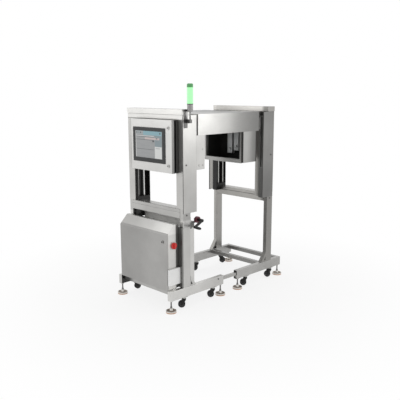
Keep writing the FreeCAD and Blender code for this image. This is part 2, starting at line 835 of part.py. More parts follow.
def towers():
    """Both towers, their side covers, guides and guide rods."""
    front = tower()
    node("tower_front", *front)
    node("tower_rear", *[mirrored(piece, "y") for piece in front])
    covers = side_covers()
    node("side_covers", *covers, *[mirrored(piece, "y") for piece in covers])
    near = guide()
    far = shifted(near, "-column_pitch", name="guide_far")
    guides = [near, far]
    node("guides", *guides, *[mirrored(piece, "y") for piece in guides])
    outer = rod("outer_rod", "z", ("near_rod", "-rod_reach"), "rod_radius",
                "beam_top", "head_beam_bottom")
    inner = rod("inner_rod", "z", ("near_rod", "screw_reach"), "rod_radius",
                "foot_block_bottom", "head_beam_bottom")
    rods = [outer, mirrored(outer, "y"), inner]
    far_rods = [shifted(piece, "-column_pitch") for piece in rods]
    node("guide_rods", *rods, *far_rods)


def screws():
    """The two lead screws of the front tower, with journals in the gearboxes and caps."""
    floors = {"near": ("near_rod", "near_box_top"), "far": ("far_rod", "beam_bottom")}
    for side, (x, floor) in floors.items():
        corners = [("0", "0"), ("kingpin_radius", "0"), ("kingpin_radius", "18"),
                   ("rod_radius", "18"),
                   ("rod_radius", "head_beam_bottom - (%s) + 15" % floor),
                   ("0", "head_beam_bottom - (%s) + 15" % floor)]
        node("lead_screw_" + side, turned("screw_" + side, corners, x, "-screw_reach",
                                          floor + " - 16"))


def lift_drive():
    """The black gearboxes, the cross shaft in its square housing and the crank bracket."""
    far_left = "-(rail_inner)"
    far_right = far_left + " + gearbox_body"
    box_z = ("gearbox_low", "beam_bottom")
    flange = block("far_box_flange", (far_left, far_left + " + gearbox_width"),
                   ("-gearbox_outer", "-gearbox_outer + gearbox_flange"), box_z)
    body = block("far_box_body", (far_left, far_right),
                 ("-gearbox_outer + gearbox_flange", "-gearbox_inner"), box_z)
    far = fuse("far_box", flange, body)
    shaft_y = ("-screw_reach - shaft_half", "-screw_reach + shaft_half")
    shaft_z = ("near_box_bottom", "shaft_top")
    upper = block("near_box_head", ("near_box_left", "near_box_left + near_box_upper"),
                  shaft_y, shaft_z)
    main = block("near_box_main", ("near_box_left", "near_box_right"),
                 ("-(leg_inner)", "-near_box_inner"), ("near_box_bottom", "near_box_top"))
    ear = block("near_box_lug", ("near_box_right", "near_box_ear"),
                ("-(leg_inner)", "-screw_reach + 11"), ("near_box_bottom", "near_box_top"))
    arm_x = ("crank_bracket_left", "crank_bracket_right")
    arm = block("crank_bracket", arm_x,
                ("-near_box_inner - crank_bracket_root", "-crank_reach + crank_bracket_half"),
                ("crank_bracket_low", "near_box_top"))
    boss = block("crank_boss", arm_x,
                 ("-crank_reach - crank_bracket_half", "-crank_reach + crank_bracket_half"),
                 ("crank_bracket_low", "crank_z + crank_bracket_half"))
    near = fuse("near_box", upper, main, ear, arm, boss)
    bores = [rod("screw_bore_near", "z", ("near_rod", "-screw_reach"),
                 "kingpin_radius + slide_gap", "near_box_top - 17", "near_box_top + 1"),
             rod("shaft_bore_near", "x", ("-screw_reach", "shaft_height"),
                 "shaft_radius + slide_gap", "near_box_left - 1", "near_box_left + 30"),
             rod("crank_bore", "x", ("crank_y", "crank_z"),
                 "crank_shaft_radius + slide_gap", "crank_bracket_left - 1",
                 "crank_bracket_right + 1")]
    near_open = cut("near_box_open", near, *bores)
    far_open = cut("far_box_open", far,
                   rod("screw_bore_far", "z", ("far_rod", "-screw_reach"),
                       "kingpin_radius + slide_gap", "beam_bottom - 17", "beam_bottom + 1"),
                   rod("shaft_bore_far", "x", ("-screw_reach", "shaft_height"),
                       "shaft_radius + slide_gap", far_right + " - 30", far_right + " + 1"))
    node("lift_gearboxes", near_open, far_open)
    housing = tube("housing_tube", "YZ", far_right, "near_box_left", shaft_y, shaft_z,
                   corner="housing_corner")
    node("shaft_housing", housing)
    node("cross_shaft", rod("cross_shaft_bar", "x", ("-screw_reach", "shaft_height"),
                            "shaft_radius", far_right + " - 28", "near_box_left + 28"))


def indicator():
    """The round position indicator on the crank bracket."""
    start = "crank_bracket_right"
    disc = rod("indicator_disc", "x", ("crank_y", "crank_z"), "indicator_radius",
               start, start + " + indicator_thick")
    dish = rod("indicator_dish", "x", ("crank_y", "crank_z"), "indicator_radius - indicator_rim",
               start + " + indicator_thick - 2", start + " + indicator_thick + 1")
    bore = rod("indicator_bore", "x", ("crank_y", "crank_z"), "crank_shaft_radius + slide_gap",
               start + " - 1", start + " + indicator_thick + 1")
    node("position_indicator", cut("indicator", disc, dish, bore))


def crank():
    """The crank with its shaft, hub, arm and grip pin, and the free grip."""
    shaft = rod("crank_shaft", "x", ("crank_y", "crank_z"), "crank_shaft_radius",
                "crank_bracket_left + 2", "crank_hub_end")
    hub = rod("crank_hub", "x", ("crank_y", "crank_z"), "crank_hub_radius", "hub_start",
              "crank_hub_end")
    along_y = "sqrt(crank_arm_length * crank_arm_length - crank_fall * crank_fall)"
    grip_y = "crank_y - " + along_y
    grip_z = "crank_z - crank_fall"
    half = "crank_arm_width / 2"
    rise_y = "(%s) * crank_fall / crank_arm_length" % half
    rise_z = "(%s) * (%s) / crank_arm_length" % (half, along_y)
    corners = [("crank_y + " + rise_y, "crank_z - " + rise_z),
               ("crank_y - " + rise_y, "crank_z + " + rise_z),
               ("%s - %s" % (grip_y, rise_y), "%s + %s" % (grip_z, rise_z)),
               ("%s + %s" % (grip_y, rise_y), "%s - %s" % (grip_z, rise_z))]
    arm = profile("crank_flat", "YZ", "arm_face", "crank_hub_end", corners)
    end = rod("crank_end", "x", (grip_y, grip_z), half, "arm_face", "crank_hub_end")
    pin = rod("grip_pin", "x", (grip_y, grip_z), "grip_pin_radius", "crank_hub_end",
              "crank_hub_end + part_gap + grip_length + 2")
    stop = rod("grip_stop", "x", (grip_y, grip_z), "grip_pin_radius + 3",
               "crank_hub_end + 2 * part_gap + grip_length",
               "crank_hub_end + 2 * part_gap + grip_length + 3")
    node("crank_arm", fuse("crank", shaft, hub, arm, end, pin, stop))
    corners = [("grip_pin_radius + slide_gap", "0"), ("grip_radius - 2", "0"),
               ("grip_radius", "grip_length * 0.3"), ("grip_radius", "grip_length * 0.75"),
               ("grip_radius - 2.5", "grip_length"), ("grip_pin_radius + slide_gap", "grip_length")]
    node("crank_grip", turned("grip", corners, "crank_hub_end + part_gap", grip_y, grip_z, "x"))


def write_parts():
    """Check every object and every sub-part, then write each sub-part to its own file."""
    doc.recompute()
    for item in doc.Objects:
        if "Invalid" in item.State or "Error" in item.State:
            raise RuntimeError("failed: " + item.Name)
    for part in NODES:
        if part.Shape.isNull() or not part.Shape.isValid() or not part.Shape.Solids:
            raise RuntimeError("bad shape: " + part.Label)
    os.makedirs("parts", exist_ok=True)
    for part in NODES:
        part.Shape.exportStep("parts/%s.step" % part.Label)


def carriage(name, core_y, arm_y, rod_y, screw_y):
    """A block that slides on a guide's rods, with the arm plate that carries the bridge."""
    core = block(name + "_core", ("near_rod - carriage_width / 2", "near_rod + carriage_width / 2"),
                 core_y, ("carriage_low", "carriage_top"))
    arm = block(name + "_arm", ("near_rod - arm_thick / 2", "near_rod + arm_thick / 2"),
                arm_y, ("arm_low", "carriage_top"))
    bores = [rod(name + "_bore_" + kind, "z", ("near_rod", y), "rod_radius + slide_gap",
                 "carriage_low - 1", "carriage_top + 1")
             for kind, y in (("rod", rod_y), ("screw", screw_y))]
    return cut(name, fuse(name + "_body", core, arm), *bores)


def head_frame():
    """Four carriages with arm plates and the two tubes that tie them through the bridge."""
    front = carriage("carriage_front", ("-carriage_outer", "-carriage_inner"),
                     ("-carriage_inner", "-bridge_front"), "-rod_reach", "-screw_reach")
    rear = carriage("carriage_rear", ("carriage_inner", "carriage_outer"),
                    ("bridge_rear", "carriage_inner"), "rod_reach", "screw_reach")
    half = "head_beam_width / 2"
    beam = tube("head_tie", "XZ", "-bridge_front + bridge_sheet", "bridge_rear - bridge_sheet",
                ("near_rod - " + half, "near_rod + " + half), ("arm_low", "carriage_top"))
    near = [front, rear, beam]
    far = [shifted(piece, "-column_pitch") for piece in near]
    node("head_frame", *near, *far)


def bridge():
    """The folded bridge cover with rounded corners and the flat pan that closes it below."""
    x = ("-(bridge_half)", "bridge_half")
    y = ("-bridge_front", "bridge_rear")
    outer = rounded(profile("bridge_outer", "XY", "bridge_bottom", "bridge_top",
                            rectangle(x, y)), "z", "bridge_corner", outside)
    hollow = block("bridge_hollow", inset(x, "bridge_sheet"), inset(y, "bridge_sheet"),
                   ("bridge_bottom - 1", "bridge_top - bridge_sheet"))
    pan = block("bridge_pan", inset(x, "bridge_sheet"), inset(y, "bridge_sheet"),
                ("bridge_bottom", "bridge_bottom + pan_sheet"))
    node("bridge_cover", cut("bridge_shell", outer, hollow), pan)


def hood_front():
    """The light hood under the bridge's front end, open towards the product."""
    x = ("-(bridge_half)", "bridge_half")
    y = ("-(hood_front_outer)", "-hood_front_inner")
    z = ("hood_bottom", "bridge_bottom")
    outer = rounded(profile("hood_front_outer_form", "XY", z[0], z[1], rectangle(x, y)),
                    "z", "hood_corner", outside)
    hollow = block("hood_front_hollow", inset(x, "hood_sheet"), inset(y, "hood_sheet"),
                   inset(z, "hood_sheet"))
    mouth = block("hood_front_mouth", inset(x, "hood_lip"), (y[1] + " - hood_sheet - 1", y[1] + " + 1"),
                  inset(z, "hood_lip"))
    heads = [bolt("hood_bolt%d" % i, "x", (place, height), "bridge_half", "bridge_half + bolt_head")
             for i, (place, height) in enumerate(HOOD_BOLTS)]
    node("hood_front", cut("hood_front_shell", outer, hollow, mouth), *heads)


HOOD_BOLTS = [("-hood_front_inner - 21", "bridge_bottom - 118"),
              ("-hood_front_inner - 64", "hood_bottom + 36"),
              ("-hood_front_inner - 18", "hood_bottom + 36")]


def hood_rear():
    """The camera hood: a face frame, a black neck and a body, hollow towards the product."""
    x = ("-hood_rear_left", "bridge_half")
    z = ("hood_rear_bottom", "bridge_bottom")
    face = block("hood_rear_face", x, ("hood_rear_front", "neck_front"), z)
    neck = block("hood_rear_neck", inset(x, "hood_neck_inset"), ("neck_front", "body_front"),
                 (z[0] + " + hood_neck_inset", z[1]))
    body = block("hood_rear_body", x, ("body_front", "hood_rear_back"), z)
    mouth = block("hood_rear_mouth", inset(x, "hood_lip"),
                  ("hood_rear_front - 1", "body_front + 1"), ("hood_opening_low", z[1] + " - hood_sheet"))
    hollow = block("hood_rear_hollow", inset(x, "hood_sheet"),
                   ("body_front", "hood_rear_back - hood_sheet"), inset(z, "hood_sheet"))
    node("hood_rear", cut("hood_rear_shell", fuse("hood_rear_form", face, neck, body), mouth, hollow))


def vision_units():
    """Two cameras hung in the rear hood and the flat light panel of the front hood."""
    top = "bridge_bottom - hood_sheet"
    back = "hood_rear_back - hood_sheet - 10"
    units = []
    for i, (left, right, bottom) in enumerate(CAMERAS):
        case = block("camera%d" % i, (left, right), (back + " - camera_depth", back), (bottom, top))
        middle = "(%s + %s) / 2" % (left, right)
        barrel = rod("lens%d" % i, "y", (middle, "%s + 40" % bottom), "lens_radius",
                     back + " - camera_depth - lens_length", back + " - camera_depth")
        units.append(fuse("camera_unit%d" % i, case, barrel))
    panel = block("light_panel", ("-(bridge_half) + hood_lip + 8", "bridge_half - hood_lip - 8"),
                  ("-(hood_front_outer) + hood_sheet", "-(hood_front_outer) + hood_sheet + panel_thick"),
                  ("hood_bottom + hood_lip + 4", "bridge_bottom - hood_lip - 4"))
    node("vision_units", *units, panel)


CAMERAS = [("camera_left", "camera_left + camera_width", "camera_low"),
           ("camera_left + camera_step", "camera_left + camera_step + camera_width",
            "camera_low + 28")]


def knuckles(name, side, back, low, foot):
    """A two-knuckle hinge at a door's left edge: the fixed half with its pin, and the door half.

    side is the door's left face, back its rear face and foot where the fixed leaf is screwed on.
    """
    x = "%s - hinge_radius" % side
    y = "%s - hinge_radius" % back
    middle = "%s + hinge_length / 2" % low
    top = "%s + hinge_length" % low
    leaf_x = (x + " - hinge_radius", x + " - hinge_radius + 3")
    fixed = fuse(name + "_fixed",
                 rod(name + "_low", "z", (x, y), "hinge_radius", low, middle),
                 rod(name + "_pin", "z", (x, y), "hinge_pin", middle, top),
                 block(name + "_leaf", leaf_x, (y, foot + " + 10"), (low, middle)),
                 block(name + "_foot", (leaf_x[0], side), (foot, foot + " + 10"), (low, middle)))
    barrel = rod(name + "_high", "z", (x, y), "hinge_radius", middle + " + part_gap", top)
    tab = block(name + "_tab", (x, side), (y + " - hinge_radius", y), (middle + " + part_gap", top))
    bore = rod(name + "_bore", "z", (x, y), "hinge_pin + slide_gap", middle, top + " + 1")
    return fixed, cut(name + "_door", fuse(name + "_moving", barrel, tab), bore)


def lock(name, x, z, face, depth):
    """A quarter-turn lock: the fixed ring, and the turning insert with its cam."""
    front = "-(%s) - lock_proud" % face
    ring = cut(name + "_ring",
               rod(name + "_disc", "y", (x, z), "lock_radius", front, "-(%s)" % face),
               rod(name + "_hole", "y", (x, z), "lock_insert", front + " - 1", "-(%s) + 1" % face))
    core = rod(name + "_core", "y", (x, z), "lock_insert - slide_gap", front + " + 1",
               "-(%s) + %s" % (face, depth))
    slot = block(name + "_slot", (x + " - 5", x + " + 5"), (front, front + " + 3"),
                 (z + " - 1.5", z + " + 1.5"))
    cam = block(name + "_cam", (x, x + " + lock_cam_length"), ("-(%s) + %s - lock_cam_thick" % (face, depth),
                "-(%s) + %s" % (face, depth)), (z + " - lock_cam_half", z + " + lock_cam_half"))
    return ring, cut(name + "_insert", fuse(name + "_turn", core, cam), slot)


def hmi():
    """The operator box: housing, hinged door, built-in screen and two locks."""
    x = ("-hmi_left", "hmi_right")
    z = ("hmi_bottom", "hmi_top")
    shell = block("hmi_back_form", x, ("-(hmi_back)", "-tower_reach"), z)
    neck = block("hmi_neck_form", inset(x, "hmi_gasket_inset"), ("-(door_back) + part_gap", "-(hmi_back)"),
                 inset(z, "hmi_gasket_inset"))
    hollow = block("hmi_hollow", inset(x, "hmi_gasket_inset + hmi_sheet"),
                   ("-(door_back) - 1", "-tower_reach - hmi_sheet"),
                   inset(z, "hmi_gasket_inset + hmi_sheet"))
    hinges = [knuckles("hmi_hinge%d" % i, "-hmi_left", "-(door_back)", low, "-(hmi_back)")
              for i, low in enumerate(("hmi_bottom + hinge_length", "hmi_top - 2 * hinge_length"))]
    node("hmi_housing", cut("hmi_case", fuse("hmi_form", shell, neck), hollow),
         *[fixed for fixed, moving in hinges])
    tray = rounded(profile("hmi_tray", "XZ", "-hmi_face", "-(door_back)", rectangle(x, z)),
                   "y", "hmi_corner", outside)
    inside = block("hmi_tray_hollow", inset(x, "hmi_sheet"),
                   ("-hmi_face + hmi_sheet", "-(door_back) + 1"), inset(z, "hmi_sheet"))
    body_x = ("-panel_left + 10", "panel_right - 10")
    body_z = ("panel_bottom + 10", "panel_top - 10")
    window = block("hmi_window", body_x, ("-hmi_face - 1", "-hmi_face + hmi_sheet + 1"), body_z)
    locks = [lock("hmi_lock_" + name, "hmi_right - lock_side", height, "hmi_face", "14")
             for name, height in (("upper", "lock_upper"), ("lower", "lock_lower"))]
    holes = [rod("hmi_lock_hole%d" % i, "y", ("hmi_right - lock_side", height), "lock_insert",
                 "-hmi_face - 1", "-hmi_face + hmi_sheet + 1")
             for i, height in enumerate(("lock_upper", "lock_lower"))]
    node("hmi_door", cut("hmi_door_shell", tray, inside, window, *holes),
         *[moving for fixed, moving in hinges], *[ring for ring, insert in locks])
    bezel = rounded(profile("hmi_bezel", "XZ", "-hmi_face - panel_proud", "-hmi_face",
                            rectangle(("-panel_left", "panel_right"), ("panel_bottom", "panel_top"))),
                    "y", "bezel_corner", outside)
    rear = block("hmi_panel_rear", body_x, ("-hmi_face", "-hmi_face + panel_depth"), body_z)
    glass = block("hmi_screen", ("-screen_left", "screen_right"),
                  ("-hmi_face - panel_proud - 1", "-hmi_face - panel_proud + screen_recess"),
                  ("screen_bottom", "screen_top"))
    node("hmi_panel", cut("hmi_panel_form", fuse("hmi_panel_body", bezel, rear), glass))
    for name, (ring, insert) in zip(("hmi_lock_upper", "hmi_lock_lower"), locks):
        node(name, insert)


def cabinet():
    """The electrical cabinet with its sloping top, door, lock, vent box and main switch."""
    x = ("-cabinet_half", "cabinet_half")
    seam = "-(cabinet_seam)"
    back = "-cabinet_back"
    low = "rail_top"
    top = "cabinet_top"
    form = profile("cabinet_form", "YZ", x[0], x[1],
                   [(back, low), (seam, low), (seam, "body_shoulder"), ("-cabinet_crown", top), (back, top)])
    inner_x = inset(x, "cabinet_sheet")
    hollow = profile("cabinet_hollow", "YZ", inner_x[0], inner_x[1],
                     [(back + " - cabinet_sheet", low + " + cabinet_sheet"),
                      (seam + " - 1", low + " + cabinet_sheet"),
                      (seam + " - 1", "body_shoulder - 1.5 * cabinet_sheet - 1"),
                      ("-cabinet_crown + 0.4 * cabinet_sheet", top + " - cabinet_sheet"),
                      (back + " - cabinet_sheet", top + " - cabinet_sheet")])
    neck_x = inset(x, "cabinet_neck_inset")
    neck_z = inset((low, top), "cabinet_neck_inset")
    neck = block("cabinet_neck_form", neck_x, (back, "-(cabinet_neck)"), neck_z)
    deep = block("cabinet_deep", inset(neck_x, "cabinet_sheet"),
                 (back + " - cabinet_sheet - 1", "-(cabinet_neck) - cabinet_sheet"),
                 inset(neck_z, "cabinet_sheet"))
    air = block("cabinet_air", ("cabinet_half - cabinet_sheet - 1", "cabinet_half + 1"),
                ("-vent_front + 12", back + " - 14"), ("vent_bottom + 24", "vent_top - 14"))
    axle = rod("switch_bore", "x", ("-switch_y", "switch_z"), "axle_radius + slide_gap",
               "cabinet_half - cabinet_sheet - 1", "cabinet_half + switch_plate + 1")
    plate = cut("switch_seat", block("switch_square", ("cabinet_half", "cabinet_half + switch_plate"),
                                     ("-switch_y - switch_radius", "-switch_y + switch_radius"),
                                     ("switch_z - switch_radius", "switch_z + switch_radius")), axle)
    case = cut("cabinet_case", fuse("cabinet_joined", form, neck), hollow, deep, air, axle)
    bracket = tube("cabinet_bracket", "XY", "rail_top + bracket_bottom_gap",
                   "cabinet_top - bracket_top_gap", ("cabinet_half - bracket_reach", "half_width"),
                   ("-(cabinet_neck)", "-tower_reach"), corner="bar_corner")
    hinges = [knuckles("cabinet_hinge%d" % i, "-cabinet_half", "-(cabinet_seam) - part_gap", z, seam)
              for i, z in enumerate(("rail_top + 50", "cabinet_shoulder - 50 - hinge_length"))]
    node("cabinet_body", case, plate, *both(bracket), *[fixed for fixed, moving in hinges])
    cabinet_door(x, [moving for fixed, moving in hinges])
    cabinet_plate()
    vent_cover()
    main_switch()


def cabinet_door(x, knuckle_halves):
    """The folded cabinet door, its hinge halves and its lock."""
    face = "-cabinet_face"
    rear = "-(cabinet_seam) - part_gap"
    rim = "body_shoulder - part_gap"
    form = profile("cabinet_door_form", "YZ", x[0], x[1],
                   [(rear, "rail_top + 1"), (face, "rail_top + 1"), (face, "cabinet_shoulder"), (rear, rim)])
    inner_x = inset(x, "cabinet_sheet")
    inside = profile("cabinet_door_hollow", "YZ", inner_x[0], inner_x[1],
                     [(rear + " + 1", "rail_top + 1 + cabinet_sheet"),
                      (face + " + cabinet_sheet", "rail_top + 1 + cabinet_sheet"),
                      (face + " + cabinet_sheet", "cabinet_shoulder - cabinet_sheet / 2"),
                      (rear + " + 1", rim + " - 1.5 * cabinet_sheet + 1")])
    hole = rod("cabinet_lock_hole", "y", ("cabinet_lock_x", "cabinet_lock_z"), "lock_insert",
               face + " - 1", face + " + cabinet_sheet + 1")
    ring, insert = lock("cabinet_lock_parts", "cabinet_lock_x", "cabinet_lock_z", "cabinet_face", "22")
    node("cabinet_door", cut("cabinet_door_shell", form, inside, hole), ring, *knuckle_halves)
    node("cabinet_lock", insert)


def cabinet_plate():
    """The mounting plate on its spacers, with two rails and the control modules."""
    wall = "-(cabinet_neck) - cabinet_sheet"
    front = wall + " - plate_stand - plate_thick"
    half = "cabinet_half - 45"
    low = "rail_top + 45"
    high = "cabinet_top - 50"
    plate = block("mount_plate", ("-(%s)" % half, half), (front, wall + " - plate_stand"), (low, high))
    spacers = [rod("plate_spacer%d" % i, "y", (x, z), "bolt_radius", wall + " - plate_stand", wall)
               for i, (x, z) in enumerate([("-(%s) + 20" % half, low + " + 20"),
                                           (half + " - 20", low + " + 20"),
                                           ("-(%s) + 20" % half, high + " - 20"),
                                           (half + " - 20", high + " - 20")])]
    pieces = [fuse("mount_plate_form", plate, *spacers)]
    for row, level in enumerate(("module_low", "module_high")):
        pieces.append(block("din_rail%d" % row, ("-(%s) + 15" % half, half + " - 15"),
                            (front + " - 7", front), (level + " - 17", level + " + 17")))
        for column in range(4 + row):
            left = "-(%s) + 30 + %d * (module_width + 12)" % (half, column)
            pieces.append(block("module%d_%d" % (row, column), (left, left + " + module_width"),
                                (front + " - 7 - module_depth", front + " - 7"),
                                (level + " - module_tall / 2", level + " + module_tall / 2")))
    node("cabinet_plate", *pieces)


def vent_cover():
    """The white box over the cabinet's air opening, open underneath."""
    outer = rounded(profile("vent_form", "YZ", "cabinet_half", "cabinet_half + vent_proud",
                            rectangle(("-vent_front", "-vent_back"), ("vent_bottom", "vent_top"))),
                    "x", "vent_corner", outside)
    hollow = block("vent_hollow", ("cabinet_half - 1", "cabinet_half + vent_proud - vent_sheet"),
                   ("-vent_front + vent_sheet", "-vent_back - vent_sheet"),
                   ("vent_bottom - 1", "vent_top - vent_sheet"))
    node("vent_cover", cut("vent", outer, hollow))


def main_switch():
    """The red rotary switch with its raised grip and shaft."""
    seat = "cabinet_half + switch_plate"
    start = seat + " + part_gap"
    rim = seat + " + switch_proud / 2"
    disc = rod("switch_disc", "x", ("-switch_y", "switch_z"), "switch_radius - 1", start, rim)
    grip = rounded(profile("switch_grip", "YZ", rim, seat + " + switch_proud",
                           rectangle(("-switch_y - switch_grip_half", "-switch_y + switch_grip_half"),
                                     ("switch_z - switch_radius + 4", "switch_z + switch_radius - 4"))),
                   "x", "switch_grip_corner", outside)
    axle = rod("switch_axle", "x", ("-switch_y", "switch_z"), "axle_radius", "cabinet_half - 22", start)
    cam = rod("switch_cam", "x", ("-switch_y", "switch_z"), "axle_radius + 4", "cabinet_half - 22",
              "cabinet_half - cabinet_sheet - 3")
    node("main_switch", fuse("switch", disc, grip, axle, cam))


def stack_light():
    """The signal light on its pole, clamp and bracket plate, with a green lens."""
    face = "cover_face"
    front = "-light_y - light_plate_width"
    plate = block("light_plate", (face, face + " + light_plate_thick"), (front, "-light_y"),
                  ("light_plate_bottom", "light_plate_top"))
    clamp = block("light_clamp", (face + " + light_plate_thick", "light_x + 10"),
                  ("-light_y - 13", "-light_y + 12"),
                  ("light_clamp_z - light_clamp_height / 2", "light_clamp_z + light_clamp_height / 2"))
    pole = rod("light_pole", "z", ("light_x", "-light_y"), "light_pole_radius",
               "light_pole_bottom", "light_neck_bottom")
    neck = turned("light_neck", [("0", "0"), ("light_radius - 6", "0"), ("light_radius - 1", "8"),
                                 ("light_radius - 1", "light_lens_bottom - light_neck_bottom"),
                                 ("0", "light_lens_bottom - light_neck_bottom")],
                  "light_x", "-light_y", "light_neck_bottom")
    node("stack_bracket", plate, fuse("light_stand", clamp, pole, neck))
    node("stack_lens", rod("light_lens", "z", ("light_x", "-light_y"), "light_radius",
                           "light_lens_bottom", "light_lens_top"))
    height = "light_cap_height"
    node("stack_cap", turned("light_cap", [("0", "0"), ("light_radius", "0"),
                                           ("light_radius", height + " - 8"),
                                           ("light_radius - 3", height + " - 3"),
                                           ("light_radius - 9", height), ("0", height)],
                             "light_x", "-light_y", "light_lens_top"))


def feet():
    """Eight levelling feet: rimmed disc, cone and stem through the rail's lower wall."""
    stem = "foot_stem_radius"
    floor = "foot_pad - foot_dish"
    corners = [("0", "0"), ("foot_radius", "0"), ("foot_radius", "foot_pad"),
               ("foot_radius - foot_rim", "foot_pad"), ("foot_radius - foot_rim - 1", floor),
               ("foot_cone_radius", floor), (stem, "foot_cone_top"),
               (stem, "rail_clear + foot_stem_above"), ("0", "rail_clear + foot_stem_above")]
    for side, x in (("near", "rail_middle"), ("far", "-(rail_middle)")):
        for number, y in enumerate(FRONT_FEET + REAR_FEET, start=1):
            label = "foot_%s_%d" % (side, number)
            node(label, turned(label + "_form", corners, x, y))


def castor_forms():
    """The fork and the twin wheel of a castor, about a swivel axis at the origin."""
    crown_top = "fork_top - fork_race - part_gap"
    crown = block("fork_crown_form", ("-fork_back", "fork_front"), ("-(fork_half)", "fork_half"),
                  (crown_top + " - fork_crown", crown_top))
    outline = [("-fork_back", crown_top), ("-fork_back", crown_top + " - fork_crown - 4"),
               ("castor_trail - 9", "wheel_z - 4"), ("castor_trail - 5", "wheel_z - 8"),
               ("castor_trail + 5", "wheel_z - 8"), ("castor_trail + 9", "wheel_z - 4"),
               ("castor_trail + 8", "wheel_z + 12"), ("fork_front", crown_top)]
    cheek = profile("fork_cheek_form", "XZ", "-(fork_half)", "-(fork_half) + fork_cheek", outline)
    axle = rod("fork_axle", "y", ("castor_trail", "wheel_z"), "axle_radius",
               "-(fork_half)", "fork_half")
    bore = rod("fork_bore", "z", ("0", "0"), "kingpin_radius + slide_gap",
               crown_top + " - fork_crown - 1", crown_top + " + 1")
    fork = cut("fork_form", fuse("fork_joined", crown, cheek, mirrored(cheek, "y"), axle), bore)
    rim = "wheel_radius"
    groove = "wheel_radius - wheel_groove_depth"
    width = "wheel_width"
    corners = [("axle_radius + slide_gap", "0"), (rim + " - 3", "0"), (rim, "3"),
               (rim, "(wheel_width - wheel_groove) / 2"), (groove, "(wheel_width - wheel_groove) / 2"),
               (groove, "(wheel_width + wheel_groove) / 2"), (rim, "(wheel_width + wheel_groove) / 2"),
               (rim, width + " - 3"), (rim + " - 3", width), ("axle_radius + slide_gap", width)]
    wheel = turned("wheel_form", corners, "castor_trail", "-wheel_width / 2", "wheel_z", "y")
    return fork, wheel


def castors():
    """Eight castors, each turned its own way about its swivel."""
    fork, wheel = castor_forms()
    for side, x, yaws in (("near", "rail_middle", NEAR_YAWS), ("far", "-(rail_middle)", FAR_YAWS)):
        for number, (y, yaw) in enumerate(zip(CASTOR_ROWS, yaws), start=1):
            for kind, form in (("fork", fork), ("wheel", wheel)):
                label = "castor_%s_%s_%d" % (kind, side, number)
                copy = shifted(form, x, y, name=label + "_at")
                turn = FreeCAD.Rotation(FreeCAD.Vector(0, 0, 1), yaw)
                copy.Placement = FreeCAD.Placement(copy.Placement.Base, turn)
                node(label, copy)


CASTOR_ROWS = FRONT_CASTORS + REAR_CASTORS
NEAR_YAWS = (-135, -130, -140, -120)
FAR_YAWS = (80, -135, -110, 75)


FRAME_BOLTS = [("-(tower_reach) + leg_bolt_inset", "beam_bottom + leg_bolt_rise", "half_width"),
               ("tower_reach - leg_bolt_inset", "beam_bottom + leg_bolt_rise", "half_width"),
               ("-(tower_reach) + cover_bolt_inset", "cover_bolt_z", "cover_face"),
               ("tower_reach - cover_bolt_inset", "cover_bolt_z", "cover_face"),
               ("-(split_front) - rail_bolt_inset", "rail_top - rail_bolt_drop", "half_width")]


def frame_bolts():
    """Bolt heads that show on the legs, the side covers and the rails."""
    heads = []
    for i, (y, z, face) in enumerate(FRAME_BOLTS):
        heads.append(bolt("frame_bolt%d" % i, "x", (y, z), face, face + " + bolt_head"))
    node("frame_bolts", *both(*heads))


fill_sheet()
base()
towers()
screws()
lift_drive()
indicator()
crank()
head_frame()
bridge()
hood_front()
hood_rear()
vision_units()
hmi()
cabinet()
stack_light()
feet()
castors()
frame_bolts()
write_parts()
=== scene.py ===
"""Looks of a vision inspection machine: stainless towers, camera head, screen box and cabinet."""
import math

import bmesh
import bpy
from mathutils import Matrix, Vector


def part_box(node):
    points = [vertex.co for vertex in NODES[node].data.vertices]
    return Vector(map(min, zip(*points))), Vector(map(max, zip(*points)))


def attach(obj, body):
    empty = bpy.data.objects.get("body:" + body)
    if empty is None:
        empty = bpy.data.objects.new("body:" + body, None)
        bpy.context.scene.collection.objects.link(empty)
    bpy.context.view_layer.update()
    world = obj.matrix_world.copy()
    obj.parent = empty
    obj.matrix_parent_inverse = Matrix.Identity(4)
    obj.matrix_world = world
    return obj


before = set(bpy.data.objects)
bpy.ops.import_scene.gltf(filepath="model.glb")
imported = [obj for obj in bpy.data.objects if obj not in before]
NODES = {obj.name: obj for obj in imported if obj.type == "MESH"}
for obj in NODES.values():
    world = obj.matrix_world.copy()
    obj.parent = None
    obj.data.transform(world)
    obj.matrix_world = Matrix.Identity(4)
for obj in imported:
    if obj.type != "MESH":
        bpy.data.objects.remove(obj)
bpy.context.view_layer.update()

# X of the towers' middle plane. Pieces, and zones in materials, are placed from this plane.
MIDDLE = -0.040

CAMERA_PLACE = (3.750 + MIDDLE, -3.792, 1.850)
CAMERA_YAW = math.radians(45.04)
CAMERA_PITCH = math.radians(-10.861)
CAMERA_ROLL = math.radians(-0.115)
CAMERA_LENS = 51.39

STEEL = (0.50, 0.495, 0.48)
BLACK = (0.011, 0.011, 0.0105)
RUBBER = (0.013, 0.013, 0.013)
EDGE_RADIUS = 0.0012
NOOK_REACH = 0.022

FLOAT = "NodeSocketFloat"
VECTOR = "NodeSocketVector"
# The places of the first input, the second input and the output of a Mix node, by its kind.
MIX_SOCKETS = {"FLOAT": (2, 3, 0), "RGBA": (6, 7, 2)}


